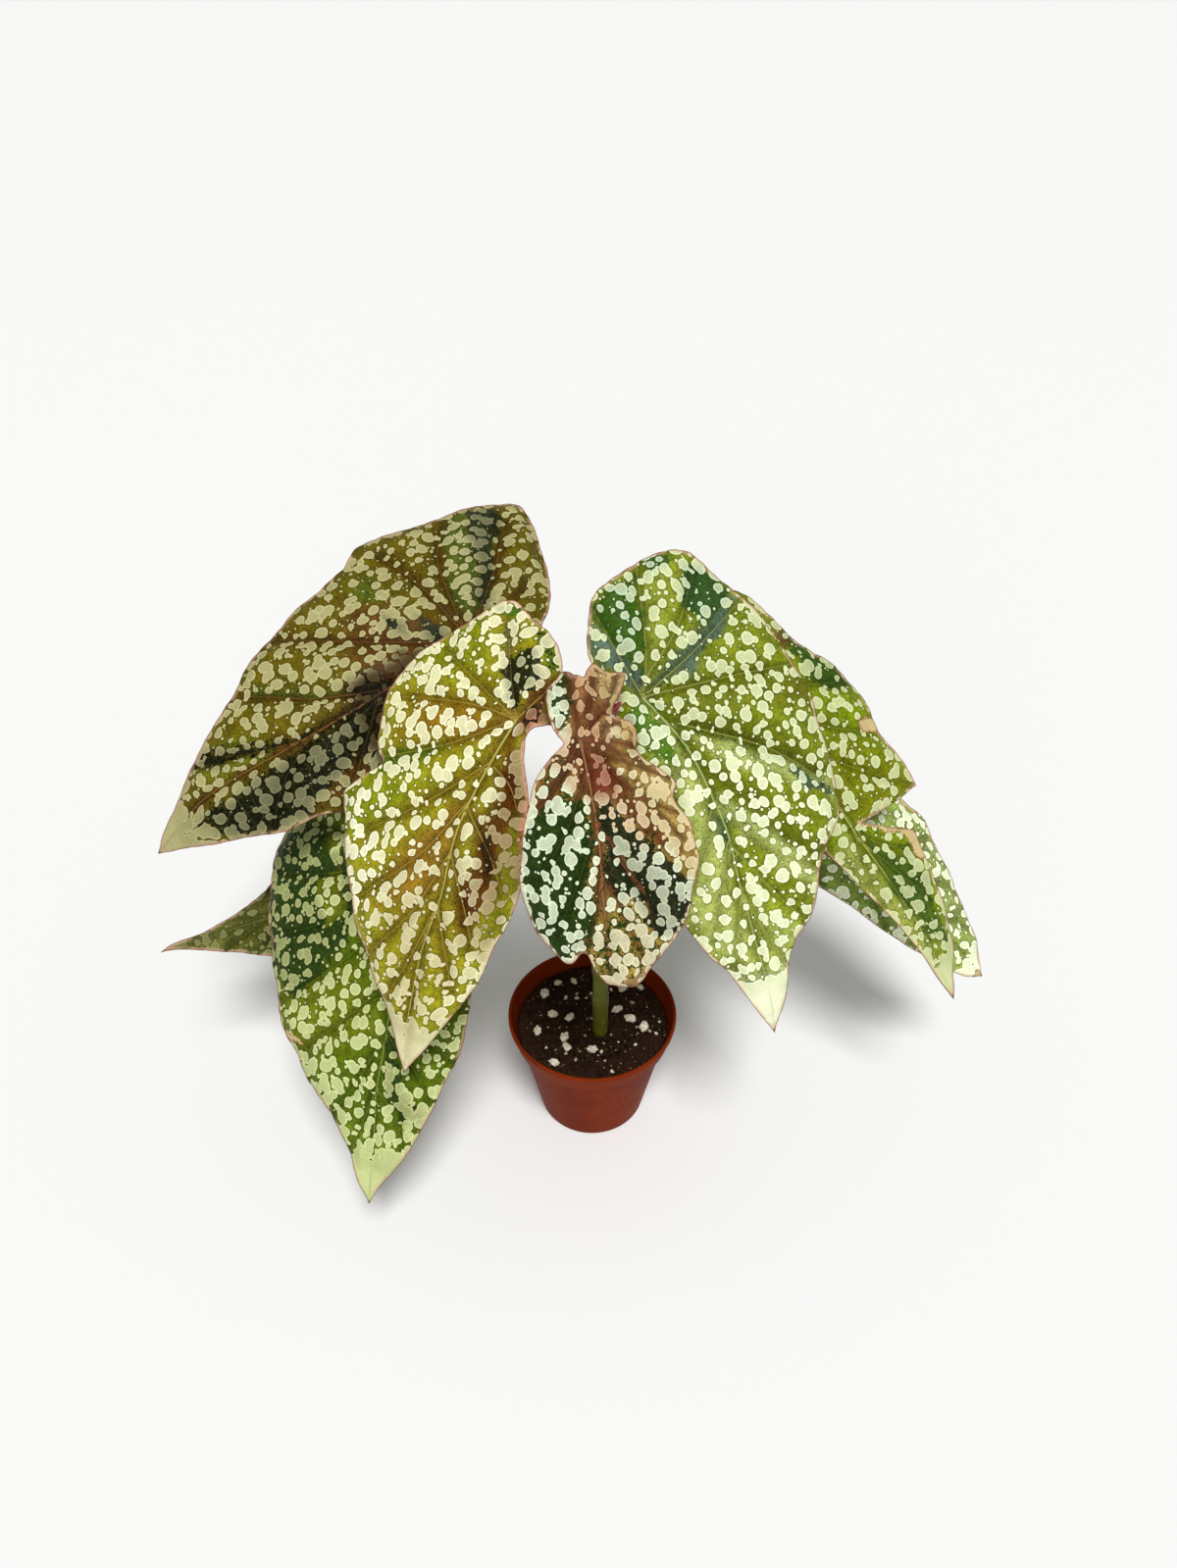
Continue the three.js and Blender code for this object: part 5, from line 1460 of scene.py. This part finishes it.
def makeLump(size, stretch, place, roughness, turn, fineness, seed):
    pickNone()
    bpy.ops.mesh.primitive_ico_sphere_add(subdivisions=fineness, radius=0.5)
    piece = bpy.context.object
    places = readPlaces(piece)
    coarse, fine = Vector((seed, 1.7 * seed, 0)), Vector((0, seed, 2.3 * seed))
    push = np.array([1 + roughness * noise.noise(Vector(p) * 3.1 + coarse)
                     + 0.45 * roughness * noise.noise(Vector(p) * 8.3 + fine) for p in places])
    places = places * push[:, None] * np.array(stretch) * size
    (c, s), (cosTilt, sinTilt) = ((math.cos(angle), math.sin(angle)) for angle in turn)
    tilt = np.array([[1, 0, 0], [0, cosTilt, -sinTilt], [0, sinTilt, cosTilt]])
    spin = np.array([[c, -s, 0], [s, c, 0], [0, 0, 1]])
    writePlaces(piece, (places @ tilt.T @ spin.T + np.array(place)) * mm)
    return piece


def scatterPlace(draw, clear=6.0):
    while True:
        radius, turn = soil["spread"] * math.sqrt(draw.random()), draw.uniform(0, 2 * math.pi)
        x, y = radius * math.cos(turn), radius * math.sin(turn)
        if math.hypot(x - cane["x"], y - cane["y"]) > clear:
            return x, y


def onSoil(x, y, lift):
    return x, y, soil["top"] + soilRelief(x, y) + lift


def scatterCrumbs():
    draw = random.Random(soil["seed"])
    crumbs = []
    for number in range(soil["crumbs"]):
        x, y = scatterPlace(draw, 5.0)
        size = draw.uniform(0.7, 2.3) if draw.random() < 0.85 else draw.uniform(2.3, 3.4)
        stretch = (1, draw.uniform(.6, 1), draw.uniform(.5, .9))
        turn = (draw.uniform(0, 6.3), draw.uniform(-.5, .5))
        crumbs.append(makeLump(size, stretch, onSoil(x, y, 0.15 * size), 0.7, turn, 1, number * 1.3))
    for number in range(soil["fibres"]):
        x, y = scatterPlace(draw, 8.0)
        length = draw.uniform(3, 7)
        turn = (draw.uniform(0, 6.3), draw.uniform(-.25, .25))
        stretch = (1, draw.uniform(.07, .16), .08)
        crumbs.append(makeLump(length, stretch, onSoil(x, y, 0.5), 0.4, turn, 1, number * 2.9))
    finishPiece(joinPieces(crumbs), "soil_crumbs", soilSkin)


def layPerlite():
    for number, (length, turn) in enumerate(perlite["grains"]):
        size, turn = length * perlite["fit"], (math.radians(turn), 0)
        nodeName = f"perlite_{number + 1:02d}"
        low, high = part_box(nodeName)
        grain = makeLump(size, (1, .7, .64), (low + high) / 2 / mm, 0.5, turn, 4, number * 3.7)
        pickOnly(grain)
        bpy.ops.object.shade_smooth()
        finishPiece(grain, f"grain_{number + 1:02d}", perliteSkin, [nodeName])
    draw = random.Random(soil["seed"] + 1)
    small = []
    for number in range(soil["smallPerlite"]):
        x, y = scatterPlace(draw)
        size = draw.uniform(0.9, 2.3)
        turn = (draw.uniform(0, 6.3), 0)
        small.append(makeLump(size, (1, .75, .7), onSoil(x, y, 0.3 * size), 0.6, turn, 2, number * 2.1))
    piece = joinPieces(small)
    pickOnly(piece)
    bpy.ops.object.shade_smooth()
    finishPiece(piece, "perlite_small", perliteSkin)


makeSoil()
scatterCrumbs()
layPerlite()
print("soil and perlite laid")


# floor, lights and camera
stage = {  # in metres
    "floorSize": 20, "floorColour": (0.8, 0.8, 0.79, 1), "floorRoughness": 0.9,
    "sky": 0.36, "wall": 0.56,  # light on the plant, and what is added where the camera sees past the floor
    "lamps": [("keyLight", (0.1, -0.5, 1.0), 16, 2.75), ("frontLight", (-0.2, -1.0, 0.5), 50, 0.4)],
    "cameraPlace": (-0.0018, -0.396, 0.536), "cameraTilt": 50, "lens": 29.27,
}


def setStage():
    pickNone()
    bpy.ops.mesh.primitive_plane_add(size=stage["floorSize"], location=(0, 0, -0.0001))
    floor = bpy.context.object
    floor.name = "floor"
    material, shader = newMaterial("paleFloor")
    shader.inputs["Base Color"].default_value = stage["floorColour"]
    shader.inputs["Roughness"].default_value = stage["floorRoughness"]
    floor.data.materials.append(material)
    world = bpy.data.worlds.new("softWorld")
    bpy.context.scene.world = world
    world.use_nodes = True
    openSheet(world.node_tree)
    sky = sheet.nodes["Background"].inputs
    sky["Color"].default_value = (1, 1, 1, 1)
    seen = put("LightPath").outputs["Is Camera Ray"]
    plug(sky["Strength"], timesPlus(seen, stage["wall"], stage["sky"]))
    for name, place, spread, power in stage["lamps"]:
        pickNone()
        bpy.ops.object.light_add(type="SUN", location=place)
        lamp = bpy.context.object
        lamp.name = name
        lamp.data.angle, lamp.data.energy = math.radians(spread), power
        lamp.rotation_euler = (-Vector(place)).to_track_quat("-Z", "Y").to_euler()


def setCamera():
    pickNone()
    tilt = math.radians(stage["cameraTilt"])
    bpy.ops.object.camera_add(location=stage["cameraPlace"], rotation=(tilt, 0, 0))
    camera = bpy.context.object
    camera.data.lens = stage["lens"]
    camera.data.sensor_width = 36
    camera.data.sensor_fit = "AUTO"
    camera.data.clip_start = 0.01
    bpy.context.scene.camera = camera


setStage()
setCamera()
bpy.context.scene.view_settings.view_transform = "Standard"
